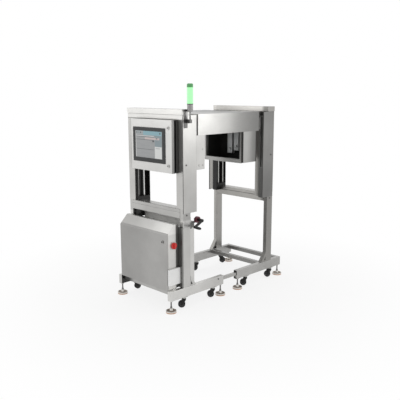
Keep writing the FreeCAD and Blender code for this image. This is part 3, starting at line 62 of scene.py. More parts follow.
class Nodes:
    """A node tree with short ways to add, join and combine its nodes."""

    def __init__(self, tree):
        self.tree = tree

    def link(self, start, end):
        self.tree.links.new(start, end)

    def set(self, socket, value):
        """Join an output to a socket, or give the socket a number, a vector or a colour."""
        if isinstance(value, bpy.types.NodeSocket):
            self.link(value, socket)
        elif socket.type == "RGBA":
            socket.default_value = (*value, 1)
        else:
            socket.default_value = value

    def add(self, kind, **settings):
        """A node; its sockets' names take values or outputs, other names are its settings."""
        node = self.tree.nodes.new(kind)
        for key, value in settings.items():
            if hasattr(node, key):
                setattr(node, key, value)
            else:
                self.set(node.inputs[key.replace("_", " ")], value)
        return node

    def place(self):
        """The object's own coordinates."""
        return self.add("ShaderNodeTexCoord").outputs["Object"]

    def texture(self, kind, **settings):
        """The value of a texture that is laid by the object's own coordinates."""
        return self.add(kind, Vector=self.place(), **settings).outputs["Fac"]

    def math(self, operation, *values):
        """The result of a sum on outputs and numbers."""
        node = self.add("ShaderNodeMath", operation=operation)
        for socket, value in zip(node.inputs, values):
            self.set(socket, value)
        return node.outputs[0]

    def spread(self, value, **settings):
        """A value carried from one range to another."""
        return self.add("ShaderNodeMapRange", Value=value, **settings).outputs["Result"]

    def blend(self, factor, first, second, kind="RGBA"):
        """Two colours or numbers mixed: the first where the factor is zero."""
        mix = self.add("ShaderNodeMix", data_type=kind)
        first_socket, second_socket, result = MIX_SOCKETS[kind]
        self.link(factor, mix.inputs[0])
        self.set(mix.inputs[first_socket], first)
        self.set(mix.inputs[second_socket], second)
        return mix.outputs[result]

    def inside(self, value, low, high):
        """One where a value lies between two numbers."""
        return self.math("COMPARE", value, (low + high) / 2, (high - low) / 2)

    def mix_shaders(self, factor, first, second):
        """Two shaders mixed: the first where the factor is zero."""
        mix = self.add("ShaderNodeMixShader")
        for socket, value in zip(mix.inputs, (factor, first, second)):
            self.link(value, socket)
        return mix.outputs[0]


class Paint(Nodes):
    """A material with its own Principled shader."""

    def __init__(self, name, colour, rough=0.5, metal=0.0, **sockets):
        self.material = bpy.data.materials.new(name)
        self.material.use_nodes = True
        super().__init__(self.material.node_tree)
        self.shader = self.tree.nodes["Principled BSDF"]
        self.feed(Base_Color=colour, Roughness=rough, Metallic=metal, **sockets)

    def feed(self, **sockets):
        """Give the shader's sockets values or outputs."""
        for name, value in sockets.items():
            self.set(self.shader.inputs[name.replace("_", " ")], value)

    def relief(self, height, strength, depth, **sockets):
        """Let a height show as fine relief."""
        bump = self.add("ShaderNodeBump", Strength=strength, Distance=depth, Height=height,
                        **sockets)
        self.feed(Normal=bump.outputs["Normal"])


class Effect(Nodes):
    """A shared node group with named inputs and outputs."""

    def __init__(self, name, inputs, outputs):
        super().__init__(bpy.data.node_groups.new(name, "ShaderNodeTree"))
        for socket, (kind, value) in inputs.items():
            made = self.tree.interface.new_socket(socket, in_out="INPUT", socket_type=kind)
            made.default_value = value
        for socket, kind in outputs.items():
            self.tree.interface.new_socket(socket, in_out="OUTPUT", socket_type=kind)
        self.start = self.add("NodeGroupInput").outputs
        self.end = self.add("NodeGroupOutput").inputs


def brushing_effect():
    """Fine brushed lines along one axis, and slow cloudy changes of tone."""
    effect = Effect("brushing", {"Stretch": (VECTOR, (1, 1, 1)), "Fine": (FLOAT, 900.0)},
                    {"Lines": FLOAT, "Clouds": FLOAT})
    stretched = effect.add("ShaderNodeVectorMath", operation="MULTIPLY")
    effect.link(effect.place(), stretched.inputs[0])
    effect.link(effect.start["Stretch"], stretched.inputs[1])
    lines = effect.add("ShaderNodeTexNoise", Vector=stretched.outputs[0],
                       Scale=effect.start["Fine"], Detail=3.0, Roughness=0.6)
    clouds = effect.texture("ShaderNodeTexNoise", Scale=3.2, Detail=4.0, Roughness=0.55)
    effect.link(lines.outputs["Fac"], effect.end["Lines"])
    effect.link(clouds, effect.end["Clouds"])
    return effect.tree


def smudges_effect():
    """Sparse smudges and fine specks."""
    effect = Effect("smudges", {"Size": (FLOAT, 9.0)}, {"Mask": FLOAT})
    spots = effect.texture("ShaderNodeTexNoise", Scale=effect.start["Size"], Detail=6.0,
                           Roughness=0.7, Distortion=0.4)
    effect.link(effect.spread(spots, From_Min=0.52, From_Max=0.72), effect.end["Mask"])
    return effect.tree


BRUSHING = brushing_effect()
SMUDGES = smudges_effect()
STRETCH_ALONG = {"x": (0.012, 1, 1), "y": (1, 0.012, 1), "z": (1, 1, 0.012)}


def coordinate(paint, letter):
    """One of the object's own coordinates in metres, with X from the middle plane."""
    centred = paint.add("ShaderNodeMapping", Vector=paint.place(), Location=(-MIDDLE, 0, 0))
    parts = paint.add("ShaderNodeSeparateXYZ", Vector=centred.outputs[0])
    return parts.outputs[letter.upper()]


def brushed(paint, letter):
    """The lines and clouds of the brushing along an axis."""
    group = paint.add("ShaderNodeGroup", node_tree=BRUSHING)
    group.inputs["Stretch"].default_value = STRETCH_ALONG[letter]
    return group.outputs["Lines"], group.outputs["Clouds"]


def zone_mask(paint, letter, zones):
    """One where the size of a coordinate lies in one of the (low, high) zones."""
    size = paint.math("ABSOLUTE", coordinate(paint, letter))
    mask = paint.inside(size, *zones[0])
    for zone in zones[1:]:
        mask = paint.math("MAXIMUM", mask, paint.inside(size, *zone))
    return mask


def nook_shade(paint, level):
    """A level that falls in corners, seams and gaps: painted shade where light doesn't reach."""
    nook = paint.add("ShaderNodeAmbientOcclusion", samples=6, Distance=NOOK_REACH)
    depth = paint.spread(nook.outputs["AO"], From_Min=0.25, From_Max=0.85, To_Min=0.30)
    return paint.math("MULTIPLY", level, depth)


def graded(paint, level, letter, start, end, first, last, *fade):
    """A level times a shade that goes from first to last between two coordinates.

    A fade, (letter, start, end), brings the shade back to one along another axis.
    """
    shade = paint.spread(coordinate(paint, letter), interpolation_type="SMOOTHSTEP",
                         From_Min=start, From_Max=end, To_Min=first, To_Max=last)
    if fade:
        letter, start, end = fade
        away = paint.spread(coordinate(paint, letter), From_Min=start, From_Max=end)
        shade = paint.blend(away, shade, 1.0, "FLOAT")
    return paint.math("MULTIPLY", level, shade)


def surface(paint, colour, level, gloss, height, strength, depth):
    """Finish a paint: colour by level, gloss by smudges, fine relief and rounded edges."""
    shade = paint.add("ShaderNodeVectorMath", operation="SCALE", Vector=colour, Scale=level)
    smudges = paint.add("ShaderNodeGroup", node_tree=SMUDGES)
    rough = paint.spread(smudges.outputs["Mask"], To_Min=gloss[0], To_Max=gloss[1])
    paint.feed(Base_Color=shade.outputs[0], Roughness=rough)
    rounded = paint.add("ShaderNodeBevel", samples=4, Radius=EDGE_RADIUS)
    paint.relief(height, strength, depth, Normal=rounded.outputs["Normal"])
    return paint.material


def steel(name, along, *tones, colour=STEEL, rough=0.34, metal=0.85, depth=0.00006):
    """Brushed stainless steel; along gives the brushing axis of each zone.

    along is one axis letter, or (first letter, second letter, coordinate letter, zones): the
    second axis holds where that coordinate's size lies in one of the (low, high) zones.
    Each tone is (coordinate letter, start, end, first shade, last shade) and may have a fade,
    as graded takes it.
    """
    paint = Paint(name, colour, rough, metal)
    if isinstance(along, str):
        lines, clouds = brushed(paint, along)
    else:
        first, second, letter, zones = along
        lines, clouds = brushed(paint, first)
        crossing, _ = brushed(paint, second)
        lines = paint.blend(zone_mask(paint, letter, zones), lines, crossing, "FLOAT")
    cloud = paint.spread(clouds, From_Min=0.3, From_Max=0.7, To_Min=0.9, To_Max=1.07)
    streak = paint.spread(lines, From_Min=0.25, From_Max=0.75, To_Min=0.93, To_Max=1.05)
    level = nook_shade(paint, paint.math("MULTIPLY", cloud, streak))
    for tone in tones:
        level = graded(paint, level, *tone)
    return surface(paint, colour, level, (rough - 0.04, rough + 0.09), lines, 0.35, depth)


def moulded(name, colour, *tones, rough=0.45, metal=0.0, grain=600.0, spread=0.25, depth=0.0001):
    """Plastic, rubber or paint with a fine grain, slow changes of tone and tones as in steel."""
    paint = Paint(name, colour, rough, metal)
    fine = paint.texture("ShaderNodeTexNoise", Scale=grain, Detail=2.0)
    slow = paint.texture("ShaderNodeTexNoise", Scale=7.0, Detail=3.0)
    level = paint.spread(slow, From_Min=0.3, From_Max=0.7, To_Min=1 - spread, To_Max=1 + spread)
    for tone in tones:
        level = graded(paint, level, *tone)
    return surface(paint, colour, level, (rough - 0.05, rough + 0.1), fine, 0.3, depth)


# Heights on a levelling foot, from its pad to its stem.
TAN_RING = (0.0100, 0.0065)
DARK_DISH = (0.0168, 0.0192)
DULL_STEM = (0.034, 0.044)


def foot_steel():
    """Turned pale steel, with a tan ring low on the pad, a dark dish and a dull stem."""
    paint = Paint("turned_foot_steel", (0.60, 0.585, 0.55), 0.36, 0.8)
    height = coordinate(paint, "z")
    grain = paint.texture("ShaderNodeTexNoise", Scale=260.0, Detail=4.0)
    bare = paint.blend(grain, (0.62, 0.60, 0.56), (0.82, 0.80, 0.76))
    tan = paint.blend(grain, (0.48, 0.24, 0.13), (0.62, 0.36, 0.22))
    ring = paint.spread(height, From_Min=TAN_RING[0], From_Max=TAN_RING[1])
    colour = paint.blend(ring, bare, tan)
    colour = paint.blend(paint.inside(height, *DARK_DISH), colour, (0.16, 0.12, 0.09))
    stem = paint.spread(height, From_Min=DULL_STEM[0], From_Max=DULL_STEM[1])
    colour = paint.blend(stem, colour, (0.16, 0.155, 0.15))
    paint.feed(Base_Color=colour, Metallic=paint.spread(ring, To_Min=0.8, To_Max=0.1),
               Roughness=paint.spread(grain, To_Min=0.32, To_Max=0.46))
    paint.relief(grain, 0.3, 0.0001)
    return paint.material


# Heights of the two rows of modules, the height of their terminals, and the plate's depths.
MODULE_ROWS = ((0.312, 0.408), (0.492, 0.588))
TERMINAL_ROW = 0.018
PLATE_DEPTHS = (0.600, 0.6321)


def control_modules():
    """Pale control modules with dark rows of terminals, on a plate of spangled zinc."""
    paint = Paint("control_modules", (0.42, 0.43, 0.43), 0.5)
    terminals = [row for low, high in MODULE_ROWS
                 for row in ((low, low + TERMINAL_ROW), (high - TERMINAL_ROW, high))]
    housing = paint.blend(zone_mask(paint, "z", terminals), (0.42, 0.43, 0.43),
                          (0.06, 0.063, 0.068))
    spangle = paint.add("ShaderNodeTexVoronoi", feature="F1", Vector=paint.place(), Scale=45.0)
    zinc = paint.blend(spangle.outputs["Distance"], (0.33, 0.335, 0.34), (0.43, 0.435, 0.44))
    paint.feed(Base_Color=paint.blend(zone_mask(paint, "y", (PLATE_DEPTHS,)), housing, zinc))
    paint.relief(paint.texture("ShaderNodeTexNoise", Scale=500.0), 0.25, 0.0002)
    return paint.material


def signal_lens():
    """Translucent green ribbed lens with a soft glow."""
    paint = Paint("green_signal_lens", (0.30, 0.85, 0.34), 0.25, Emission_Strength=0.5)
    ribs = paint.texture("ShaderNodeTexWave", wave_type="BANDS", bands_direction="Z",
                         Scale=70.0, Distortion=0.0)
    colour = paint.blend(ribs, (0.27, 0.80, 0.32), (0.45, 0.95, 0.48))
    paint.feed(Base_Color=colour, Emission_Color=colour)
    paint.relief(ribs, 0.4, 0.0008)
    return paint.material


# The beams and the lid of a tower are brushed across, its legs and columns upright. The tubes
# between the base's rails are brushed across, the rails along. Two tones of the front rails,
# painted shadow under the cabinet, fade out behind the cabinet.
TOWER_BRUSHING = ("z", "x", "z", ((0.790, 0.873), (1.614, 1.700)))
BASE_BRUSHING = ("y", "x", "x", ((0.0, 0.315),))
UNDER_CABINET = ("y", -0.64, -0.56)

# Painted light and shade: all but the +X faces lighter, the tower lighter below the beams and
# darker above, the columns and the lid lighter than the beams, the lid's top darker.
FRONT_TOWER = steel("front_tower_steel", TOWER_BRUSHING,
                    ("x", 0.3535, 0.3549, 1.27, 1.0), ("z", 0.765, 0.785, 1.08, 0.76),
                    ("z", 0.870, 0.878, 1.0, 1.12), ("z", 1.605, 1.625, 1.0, 1.27),
                    ("z", 1.6984, 1.6996, 1.0, 0.66))
# A darker steel than the front tower's, as painted shade, with painted light and shade by place:
# the far outer faces and the +X faces lighter, the near inner side and the far half darker, the
# lid lighter, the lid's top darker.
REAR_TOWER = steel("rear_tower_steel", TOWER_BRUSHING,
                   ("x", -0.3175, -0.3155, 1.15, 1.0), ("x", 0.262, 0.3145, 1.0, 0.42),
                   ("x", 0.3535, 0.3548, 1.0, 1.55), ("x", -0.250, 0.180, 0.80, 1.0),
                   ("z", 1.650, 1.656, 1.0, 1.5), ("z", 1.6984, 1.6996, 1.0, 0.80),
                   colour=(0.42, 0.410, 0.39))
# Painted light and shade: lighter towards the front, all but the near rail darker, and painted
# shadow under the cabinet on the far rail's inner side and the tubes' far ends, with the far
# rail's end kept light.
BASE_FRONT = steel("front_rail_steel", BASE_BRUSHING,
                   ("y", -0.60, -0.10, 1.28, 1.02),
                   ("x", -0.3170, -0.3156, 11.0, 1.0, *UNDER_CABINET),
                   ("x", -0.240, -0.150, 0.12, 1.0, *UNDER_CABINET),
                   ("x", 0.300, 0.314, 0.7, 1.0))
# Painted light and shade: darker towards the rear, and the tubes between the rails darker than
# the rails.
BASE_REAR = steel("rear_rail_steel", BASE_BRUSHING,
                  ("y", 0.10, 0.60, 0.88, 0.75), ("x", -0.314, -0.300, 1.43, 1.0),
                  ("x", 0.300, 0.314, 0.7, 1.0))
LINK_BARS = steel("link_bar_steel", "y", colour=(0.42, 0.415, 0.40))
# Painted light and shade: lighter at the front and high up, darker towards the rear, low down and
# on the inner edge.
SIDE_COVERS = steel("side_cover_steel", "z", ("y", -0.60, 0.45, 1.14, 0.46),
                    ("z", 0.9, 1.4, 0.84, 1.08), ("x", 0.350, 0.3545, 0.6, 1.0))
# Near white and barely metallic: painted light, so the housing looks lit in the shade under the
# beam.
SHAFT_HOUSING = steel("shaft_housing_steel", "x", colour=(0.95, 0.94, 0.91), metal=0.15)
# Painted light and shade: darker at the rear end and a little darker low down.
HEAD_FRAME = steel("head_steel", "z", ("y", 0.34, 0.40, 1.0, 0.45), ("z", 1.45, 1.55, 0.9, 1.0))
# Painted light and shade: a painted reflection, light at the front and grey at the rear, and a
# darker top.
BRIDGE = steel("bridge_steel", "y", ("y", -0.42, 0.34, 1.38, 0.44),
               ("z", 1.6560, 1.6568, 1.0, 0.5))
# Painted light and shade: lighter at the front, darker towards the rear and darkest at the rear
# end.
HOODS = steel("hood_steel", "z", ("y", -0.30, 0.20, 1.15, 0.85), ("y", 0.19, 0.33, 1.0, 0.46))
# Painted light and shade: a lighter slope on top, darker to the left, lighter to the right and on
# the +X side, and painted shade on the neck and back behind the front.
CABINET = steel("cabinet_steel", "z", ("z", 0.660, 0.680, 1.0, 1.2),
                ("x", -0.30, 0.10, 0.76, 1.0), ("x", 0.02, 0.30, 1.0, 1.3),
                ("y", -0.655, -0.647, 1.0, 0.34))
# Painted light and shade: a darker steel than the cabinet's, darker to the left and lighter to
# the right.
CABINET_DOOR = steel("cabinet_door_steel", "z", ("x", -0.30, 0.20, 0.92, 1.05),
                     colour=(0.37, 0.365, 0.355))
SCREEN_BOX = steel("screen_box_steel", "x", ("x", 0.2990, 0.2998, 1.0, 0.40),
                   ("x", -0.2275, -0.2265, 0.32, 1.0), ("y", -0.6455, -0.6445, 1.0, 0.3),
                   colour=(0.64, 0.635, 0.62))
LOCKS = steel("lock_steel", "x", ("z", 0.8, 1.0, 0.12, 0.75), colour=(0.36, 0.355, 0.35))
LEAD_SCREWS = steel("ground_bright_steel", "z", colour=(0.80, 0.80, 0.79), rough=0.16,
                    metal=1.0, depth=0.00002)
GUIDE_RODS = steel("guide_rod_steel", "z", colour=(0.50, 0.495, 0.48), rough=0.2, metal=1.0)
BOLTS = steel("bolt_steel", "x", colour=(0.17, 0.165, 0.16), rough=0.4)
SIGNAL_POLE = steel("signal_pole_steel", "z", ("z", 1.62, 1.67, 0.45, 1.0),
                    colour=(0.30, 0.295, 0.29), rough=0.3)
FEET = foot_steel()

# Painted light: the gearboxes and guides on the near side lighter than the black far ones.
GEARBOXES = moulded("gearbox_black_near_painted_light", BLACK, ("x", 0.20, 0.24, 1.0, 14.0), rough=0.4, metal=0.4)
GUIDES = moulded("guide_black", BLACK, ("x", 0.20, 0.24, 1.0, 15.0), rough=0.42, metal=0.3)
CASTOR_FORKS = moulded("castor_fork_black", BLACK, rough=0.38, metal=0.5)
TYRES = moulded("tyre_rubber", RUBBER, rough=0.75, grain=900.0, depth=0.0003)
WHEEL_HUBS = moulded("wheel_hub_grey", (0.035, 0.035, 0.037), rough=0.35, metal=0.3)
CRANK = moulded("crank_black", BLACK, rough=0.35, metal=0.2)
INDICATOR = moulded("indicator_maroon", (0.17, 0.040, 0.058), rough=0.35)
SCREEN_PANEL = moulded("screen_bezel_black", (0.012, 0.013, 0.014), rough=0.3)
VENT = moulded("vent_white", (0.91, 0.91, 0.90), rough=0.5, spread=0.03)
CAMERAS = moulded("camera_grey", (0.42, 0.43, 0.43), rough=0.42, metal=0.4)
SIGNAL_CAP = moulded("signal_cap_green", (0.13, 0.44, 0.16), rough=0.45)
MAIN_SWITCH = moulded("switch_red", (0.62, 0.03, 0.025), rough=0.32)
SEALS = moulded("rubber_seal", (0.014, 0.014, 0.013), rough=0.6)
# Black inside the rear hood: painted shade.
HOOD_SHADE = moulded("hood_shade_sheets_black", (0.012, 0.012, 0.011), rough=0.75)
# Painted shadow in the gaps where sheets and tubes meet.
SEAM_SHADOWS = moulded("seam_shadow", (0.020, 0.017, 0.014), rough=0.8)

FINISHES = {
    "base_front": BASE_FRONT,
    "base_rear": BASE_REAR,
    "link_bars": LINK_BARS,
    "tower_front": FRONT_TOWER,
    "tower_rear": REAR_TOWER,
    "side_covers": SIDE_COVERS,
    "frame_bolts": BOLTS,
    "guides": GUIDES,
    "guide_rods": GUIDE_RODS,
    "lead_screw_near": LEAD_SCREWS,
    "lead_screw_far": LEAD_SCREWS,
    "lift_gearboxes": GEARBOXES,
    "cross_shaft": LEAD_SCREWS,
    "shaft_housing": SHAFT_HOUSING,
    "position_indicator": INDICATOR,
    "crank_arm": CRANK,
    "crank_grip": CRANK,
    "head_frame": HEAD_FRAME,
    "bridge_cover": BRIDGE,
    "hood_front": HOODS,
    "hood_rear": HOODS,
    "vision_units": CAMERAS,
    "hmi_housing": SCREEN_BOX,
    "hmi_door": SCREEN_BOX,
    "hmi_panel": SCREEN_PANEL,
    "hmi_lock_upper": LOCKS,
    "hmi_lock_lower": LOCKS,
    "cabinet_body": CABINET,
    "cabinet_door": CABINET_DOOR,
    "cabinet_plate": control_modules(),
    "cabinet_lock": LOCKS,
    "main_switch": MAIN_SWITCH,
    "vent_cover": VENT,
    "stack_bracket": SIGNAL_POLE,
    "stack_lens": signal_lens(),
    "stack_cap": SIGNAL_CAP,
}
for side in ("near", "far"):
    for number in range(1, 5):
        FINISHES[f"castor_fork_{side}_{number}"] = CASTOR_FORKS
        FINISHES[f"castor_wheel_{side}_{number}"] = TYRES
        FINISHES[f"foot_{side}_{number}"] = FEET
for node, finish in FINISHES.items():
    NODES[node].data.materials.clear()
    NODES[node].data.materials.append(finish)


# The screen's low corner, its size, and the areas of its picture as (low corner, high corner,
# colour), each corner as shares of the width and the height.
SCREEN = (-0.163, -0.6725, 1.286)
SCREEN_WIDE = 0.347
SCREEN_HIGH = 0.228
TEAL = (0.20, 0.36, 0.41)
MARK = (0.07, 0.075, 0.08)
SOFT_MARK = (0.20, 0.21, 0.22)
PALE = (0.60, 0.61, 0.60)
SCREEN_AREAS = (
    ((0.0, 0.875), (0.30, 1.0), (0.31, 0.35, 0.36)),
    ((0.73, 0.44), (0.985, 0.875), (0.20, 0.25, 0.27)),
    ((0.30, 0.845), (0.985, 1.0), TEAL),
    ((0.03, 0.90), (0.07, 0.96), MARK),
    ((0.10, 0.90), (0.14, 0.96), SOFT_MARK),
    ((0.17, 0.90), (0.21, 0.96), MARK),
    ((0.24, 0.90), (0.27, 0.96), SOFT_MARK),
    ((0.90, 0.90), (0.945, 0.96), MARK),
    ((0.0, 0.80), (0.70, 0.825), (0.55, 0.56, 0.56)),
    ((0.02, 0.775), (0.70, 0.79), MARK),
    ((0.02, 0.665), (0.70, 0.68), MARK),
    ((0.36, 0.69), (0.90, 0.76), (0.50, 0.42, 0.41)),
    ((0.64, 0.60), (0.71, 0.66), MARK),
    ((0.03, 0.31), (0.70, 0.325), MARK),
    ((0.77, 0.72), (0.83, 0.75), MARK),
    ((0.77, 0.62), (0.83, 0.65), SOFT_MARK),
    ((0.73, 0.0), (0.985, 0.44), PALE),
    ((0.76, 0.36), (0.92, 0.40), (0.42, 0.43, 0.43)),
    ((0.0, 0.0), (0.02, 1.0), (0.62, 0.63, 0.62)),
)


def screen_material():
    """Generic screen picture: pale panels, a teal header, dark rules and small marks."""
    paint = Paint("screen_picture", (0.45, 0.47, 0.48), 0.22, Emission_Strength=0.12,
                  Coat_Weight=0.4)
    corner = (-(SCREEN[0] + MIDDLE) / SCREEN_WIDE, 0, -SCREEN[2] / SCREEN_HIGH)
    share = paint.add("ShaderNodeMapping", Vector=paint.place(), Location=corner,
                      Scale=(1 / SCREEN_WIDE, 1, 1 / SCREEN_HIGH)).outputs[0]
    parts = paint.add("ShaderNodeSeparateXYZ", Vector=share)
    colour = picture_rows(paint, share)
    for low, high, tint in SCREEN_AREAS:
        area = paint.math("MULTIPLY", paint.inside(parts.outputs["X"], low[0], high[0]),
                          paint.inside(parts.outputs["Z"], low[1], high[1]))
        colour = paint.blend(area, colour, tint)
    paint.feed(Base_Color=colour, Emission_Color=colour)
    return paint.material


def picture_rows(paint, share):
    """Grey panel with faint rows of small marks."""
    flat = paint.add("ShaderNodeMapping", Vector=share, Rotation=(math.radians(-90), 0, 0))
    rows = paint.add("ShaderNodeTexBrick", Vector=flat.outputs[0], Scale=1.0,
                     Color1=(0.25, 0.26, 0.265), Color2=(0.285, 0.29, 0.295),
                     Mortar=(0.32, 0.325, 0.325), Brick_Width=0.37, Row_Height=0.043,
                     Mortar_Size=0.006)
    return rows.outputs["Color"]


def piece(name, shape, body, material):
    """Turn a shape drawn from the middle plane into a piece that rides on a body."""
    bmesh.ops.recalc_face_normals(shape, faces=shape.faces)
    bmesh.ops.translate(shape, vec=(MIDDLE, 0, 0), verts=shape.verts)
    mesh = bpy.data.meshes.new(name)
    shape.to_mesh(mesh)
    shape.free()
    mesh.materials.append(material)
    item = bpy.data.objects.new(name, mesh)
    bpy.context.scene.collection.objects.link(item)
    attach(item, body)


def plate(shape, low, high, edge=0.0, segments=1):
    """A box between two corners, with softened edges where an edge is given."""
    verts = bmesh.ops.create_cube(shape, size=1.0)["verts"]
    bmesh.ops.scale(shape, vec=[b - a for a, b in zip(low, high)], verts=verts)
    bmesh.ops.translate(shape, vec=[(a + b) / 2 for a, b in zip(low, high)], verts=verts)
    if edge:
        edges = {e for v in verts for e in v.link_edges}
        bmesh.ops.bevel(shape, geom=list(edges), offset=edge, segments=segments, profile=0.5,
                        affect="EDGES", material=-1)


def turned(shape, outline, centre, axis, steps):
    """Spin an outline of (radius, height) points about an axis through a centre."""
    before = set(shape.verts)
    points = [shape.verts.new((radius, 0, height)) for radius, height in outline]
    edges = [shape.edges.new(pair) for pair in zip(points, points[1:])]
    bmesh.ops.spin(shape, geom=points + edges, cent=(0, 0, 0), axis=(0, 0, 1),
                   angle=2 * math.pi, steps=steps, use_merge=True)
    made = [v for v in shape.verts if v not in before]
    bmesh.ops.remove_doubles(shape, verts=made, dist=0.00002)
    made = [v for v in shape.verts if v not in before]
    up = Vector(axis).to_track_quat("Z", "X").to_matrix()
    bmesh.ops.rotate(shape, cent=(0, 0, 0), matrix=up, verts=made)
    bmesh.ops.translate(shape, vec=centre, verts=made)


def screen_picture():
    """Thin lit picture on the panel's front."""
    shape = bmesh.new()
    low = (SCREEN[0], SCREEN[1] - 0.0003, SCREEN[2])
    high = (SCREEN[0] + SCREEN_WIDE, SCREEN[1] + 0.0002, SCREEN[2] + SCREEN_HIGH)
    plate(shape, low, high, 0.0001)
    piece("screen_picture", shape, "hmi_door", screen_material())


SCREEN_SEAL = ((-0.2306, -0.6500, 1.1764), (0.3056, -0.6425, 1.6136))
SCREEN_SEAL_WIDE = 0.012
SCREEN_SEAL_EDGE = 0.0008


def screen_box_seal():
    """Black rubber seal that runs round behind the screen's door."""
    (left, front, bottom), (right, back, top) = SCREEN_SEAL
    wide = SCREEN_SEAL_WIDE
    shape = bmesh.new()
    for low, high in (((left, front, bottom), (left + wide, back, top)),
                      ((left + wide, front, bottom), (right - wide, back, bottom + wide)),
                      ((right - wide, front, bottom), (right, back, top)),
                      ((left + wide, front, top - wide), (right - wide, back, top))):
        plate(shape, low, high, SCREEN_SEAL_EDGE, 2)
    piece("hmi_gasket", shape, "frame", SEALS)


# Black sheets inside the rear hood, painted shade in its inside, each as (low corner, high
# corner, edge): back, floor and both ends.
HOOD_SHADE_SHEETS = (
    ((-0.1045, 0.3350, 1.2005), (0.3535, 0.3372, 1.4800), 0.0004),
    ((-0.1045, 0.1480, 1.1992), (0.3535, 0.3350, 1.2005), 0.0003),
    ((-0.1047, 0.1480, 1.2005), (-0.1036, 0.3350, 1.4800), 0.0003),
    ((0.3526, 0.1480, 1.2005), (0.3537, 0.3350, 1.4800), 0.0003),
)


def hood_shade_sheets():
    """Thin black sheets inside the rear hood: painted shade."""
    shape = bmesh.new()
    for low, high, edge in HOOD_SHADE_SHEETS:
        plate(shape, low, high, edge)
    piece("hood_shade_sheets", shape, "head", HOOD_SHADE)


# The turn of each castor's wheel at rest in degrees, and a hub's outline on one face.
WHEEL_TURNS = {"near": (-135, -130, -140, -120), "far": (80, -135, -110, 75)}
HUB_OUTLINE = ((0.0045, 0.0138), (0.0060, 0.0152), (0.0085, 0.0152), (0.0100, 0.0143),
               (0.0165, 0.0143), (0.0185, 0.0150), (0.0205, 0.0147), (0.0212, 0.0138))


def wheel_hubs():
    """Ribbed hub discs on both faces of each castor wheel."""
    for side, turns in WHEEL_TURNS.items():
        for number, turn in enumerate(turns, start=1):
            wheel = f"castor_wheel_{side}_{number}"
            low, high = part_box(wheel)
            centre = (Vector(low) + Vector(high)) / 2 - Vector((MIDDLE, 0, 0))
            shape = bmesh.new()
            for face in (1, -1):
                axis = Matrix.Rotation(math.radians(turn), 3, "Z") @ Vector((0, face, 0))
                turned(shape, HUB_OUTLINE, centre, axis, 24)
            piece(f"wheel_hubs_{side}_{number}", shape, wheel, WHEEL_HUBS)


SIGNAL_AXIS = (0.390, -0.548, 0)
LENS_RING_OUTLINE = ((0.0236, 1.7395), (0.0252, 1.7405), (0.0252, 1.7455), (0.0246, 1.7465))


def lens_ring():
    """Dark ring where the green lens meets its neck."""
    shape = bmesh.new()
    turned(shape, LENS_RING_OUTLINE, SIGNAL_AXIS, (0, 0, 1), 40)
    piece("lens_ring", shape, "frame", SEALS)


# How far a seam's strip stands out, and how far out the strips reach at the front tower's
# front, at the columns' side and at the head's side.
STRIP = 0.0006
FRONT_FACE = -0.601 - STRIP
COLUMN_SIDE = 0.3550 + STRIP
HEAD_SIDE = 0.3562 + STRIP
# The seams' painted shadows as piece: (body, strips), each strip between two corners: along the
# beams, the lid and the columns' folds, then at both ends of the bridge, then at the rear hood's
# side.
MACHINE_SEAM_SHADOWS = {
    "front_tower_seam_shadows": ("frame", (
        ((-0.314, FRONT_FACE, 0.8715), (0.314, -0.6005, 0.8728)),
        ((-0.354, FRONT_FACE, 1.6125), (0.354, -0.6005, 1.6150)),
        ((0.3545, -0.6008, 0.8350), (COLUMN_SIDE, -0.5975, 1.6520)))),
    "rear_tower_seam_shadows": ("frame", (
        ((-0.314, 0.5155 - STRIP, 0.8405), (0.314, 0.5165, 0.8430)),
        ((0.3545, 0.4395, 0.8350), (COLUMN_SIDE, 0.4425, 1.6520)))),
    "bridge_seam_shadows": ("head", (
        ((0.3555, -0.4279, 1.4815), (HEAD_SIDE, -0.4245, 1.6565)),
        ((0.3555, 0.3735, 1.4815), (HEAD_SIDE, 0.3769, 1.6565)))),
    "rear_hood_seam_shadows": ("head", (
        ((0.3555, 0.1255, 1.1975), (HEAD_SIDE, 0.1370, 1.4800)),
        ((0.3555, 0.3310, 1.1975), (HEAD_SIDE, 0.3395, 1.4800)))),
}


def machine_seam_shadows():
    """Thin dark strips where two sheets or tubes meet: painted shadow in the gaps there."""
    for name, (body, strips) in MACHINE_SEAM_SHADOWS.items():
        shape = bmesh.new()
        for low, high in strips:
            plate(shape, low, high)
        piece(name, shape, body, SEAM_SHADOWS)


screen_picture()
screen_box_seal()
machine_seam_shadows()
hood_shade_sheets()
wheel_hubs()
lens_ring()


FLOOR_GREY = (0.86, 0.86, 0.86)
FLOOR_HALF = 14.0
FLOOR_FADE = (0.9, 2.6)
FLOOR_WHITE = 0.80
SURROUND_LIGHT = 0.75
WHITE = (1, 1, 1)
# Each lamp's place, target, size and power.
LAMPS = {
    "front_lamp": ((-2.9, -4.1, 2.7), (0.0, -0.6, 1.3), 2.2, 28),
    "side_lamp": ((2.5, 1.25, 1.9), (0.36, -0.5, 1.1), 1.3, 7),
    "top_lamp": ((-0.4, 0.2, 4.8), (0.0, 0.0, 0.9), 3.0, 30),
}


def in_view(nodes):
    """One for what the view sees, directly, in metal or through glass."""
    path = nodes.add("ShaderNodeLightPath").outputs
    mirrored = nodes.math("MAXIMUM", path["Is Camera Ray"], path["Is Glossy Ray"])
    return nodes.math("MAXIMUM", mirrored, path["Is Transmission Ray"])


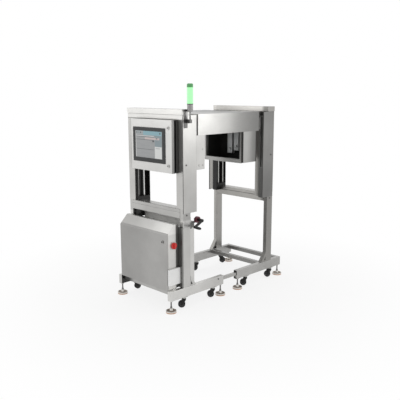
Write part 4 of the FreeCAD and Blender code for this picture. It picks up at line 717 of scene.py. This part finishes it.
def floor_material():
    """Matt white floor; the view sees it fade to pure white away from the machine."""
    paint = Paint("studio_white", FLOOR_GREY, 0.9)
    white = paint.add("ShaderNodeEmission", Color=WHITE, Strength=1.0)
    reach = paint.add("ShaderNodeVectorMath", operation="LENGTH", Vector=paint.place())
    fade = paint.spread(reach.outputs["Value"], interpolation_type="SMOOTHSTEP",
                        From_Min=FLOOR_FADE[0], From_Max=FLOOR_FADE[1], To_Min=FLOOR_WHITE)
    seen = paint.math("MULTIPLY", in_view(paint), fade)
    both = paint.mix_shaders(seen, paint.shader.outputs[0], white.outputs[0])
    paint.link(both, paint.tree.nodes["Material Output"].inputs["Surface"])
    return paint.material


def floor():
    """Wide floor that takes the machine's shadow."""
    shape = bmesh.new()
    bmesh.ops.create_grid(shape, x_segments=1, y_segments=1, size=FLOOR_HALF)
    mesh = bpy.data.meshes.new("studio_floor")
    shape.to_mesh(mesh)
    shape.free()
    mesh.materials.append(floor_material())
    item = bpy.data.objects.new("studio_floor", mesh)
    bpy.context.scene.collection.objects.link(item)


def surround():
    """White for the view, softer for the light that falls on the machine."""
    world = bpy.data.worlds.new("studio_surround")
    bpy.context.scene.world = world
    world.use_nodes = True
    world.node_tree.nodes.clear()
    nodes = Nodes(world.node_tree)
    soft = nodes.add("ShaderNodeBackground", Color=WHITE, Strength=SURROUND_LIGHT)
    white = nodes.add("ShaderNodeBackground", Color=WHITE, Strength=1.0)
    both = nodes.mix_shaders(in_view(nodes), soft.outputs[0], white.outputs[0])
    nodes.add("ShaderNodeOutputWorld", Surface=both)


def lamp(name, place, target, size, power):
    """Large soft square lamp that faces a target."""
    light = bpy.data.lights.new(name, "AREA")
    light.shape = "SQUARE"
    light.size = size
    light.energy = power
    item = bpy.data.objects.new(name, light)
    item.location = place
    aim = Vector(target) - Vector(place)
    item.rotation_euler = aim.to_track_quat("-Z", "Y").to_euler()
    bpy.context.scene.collection.objects.link(item)


def camera():
    """The photograph's viewpoint."""
    lens = bpy.data.cameras.new("photo_camera")
    lens.lens = CAMERA_LENS
    lens.sensor_width = 36.0
    lens.clip_end = 60.0
    item = bpy.data.objects.new("photo_camera", lens)
    item.location = CAMERA_PLACE
    forward = Vector((-math.sin(CAMERA_YAW) * math.cos(CAMERA_PITCH),
                      math.cos(CAMERA_YAW) * math.cos(CAMERA_PITCH), math.sin(CAMERA_PITCH)))
    turn = forward.to_track_quat("-Z", "Y").to_matrix().to_4x4()
    roll = Matrix.Rotation(CAMERA_ROLL, 4, "Z")
    item.rotation_euler = (turn @ roll).to_euler()
    bpy.context.scene.collection.objects.link(item)
    bpy.context.scene.camera = item


floor()
for lamp_name, lamp_values in LAMPS.items():
    lamp(lamp_name, *lamp_values)
surround()
camera()
bpy.context.scene.view_settings.view_transform = "Standard"
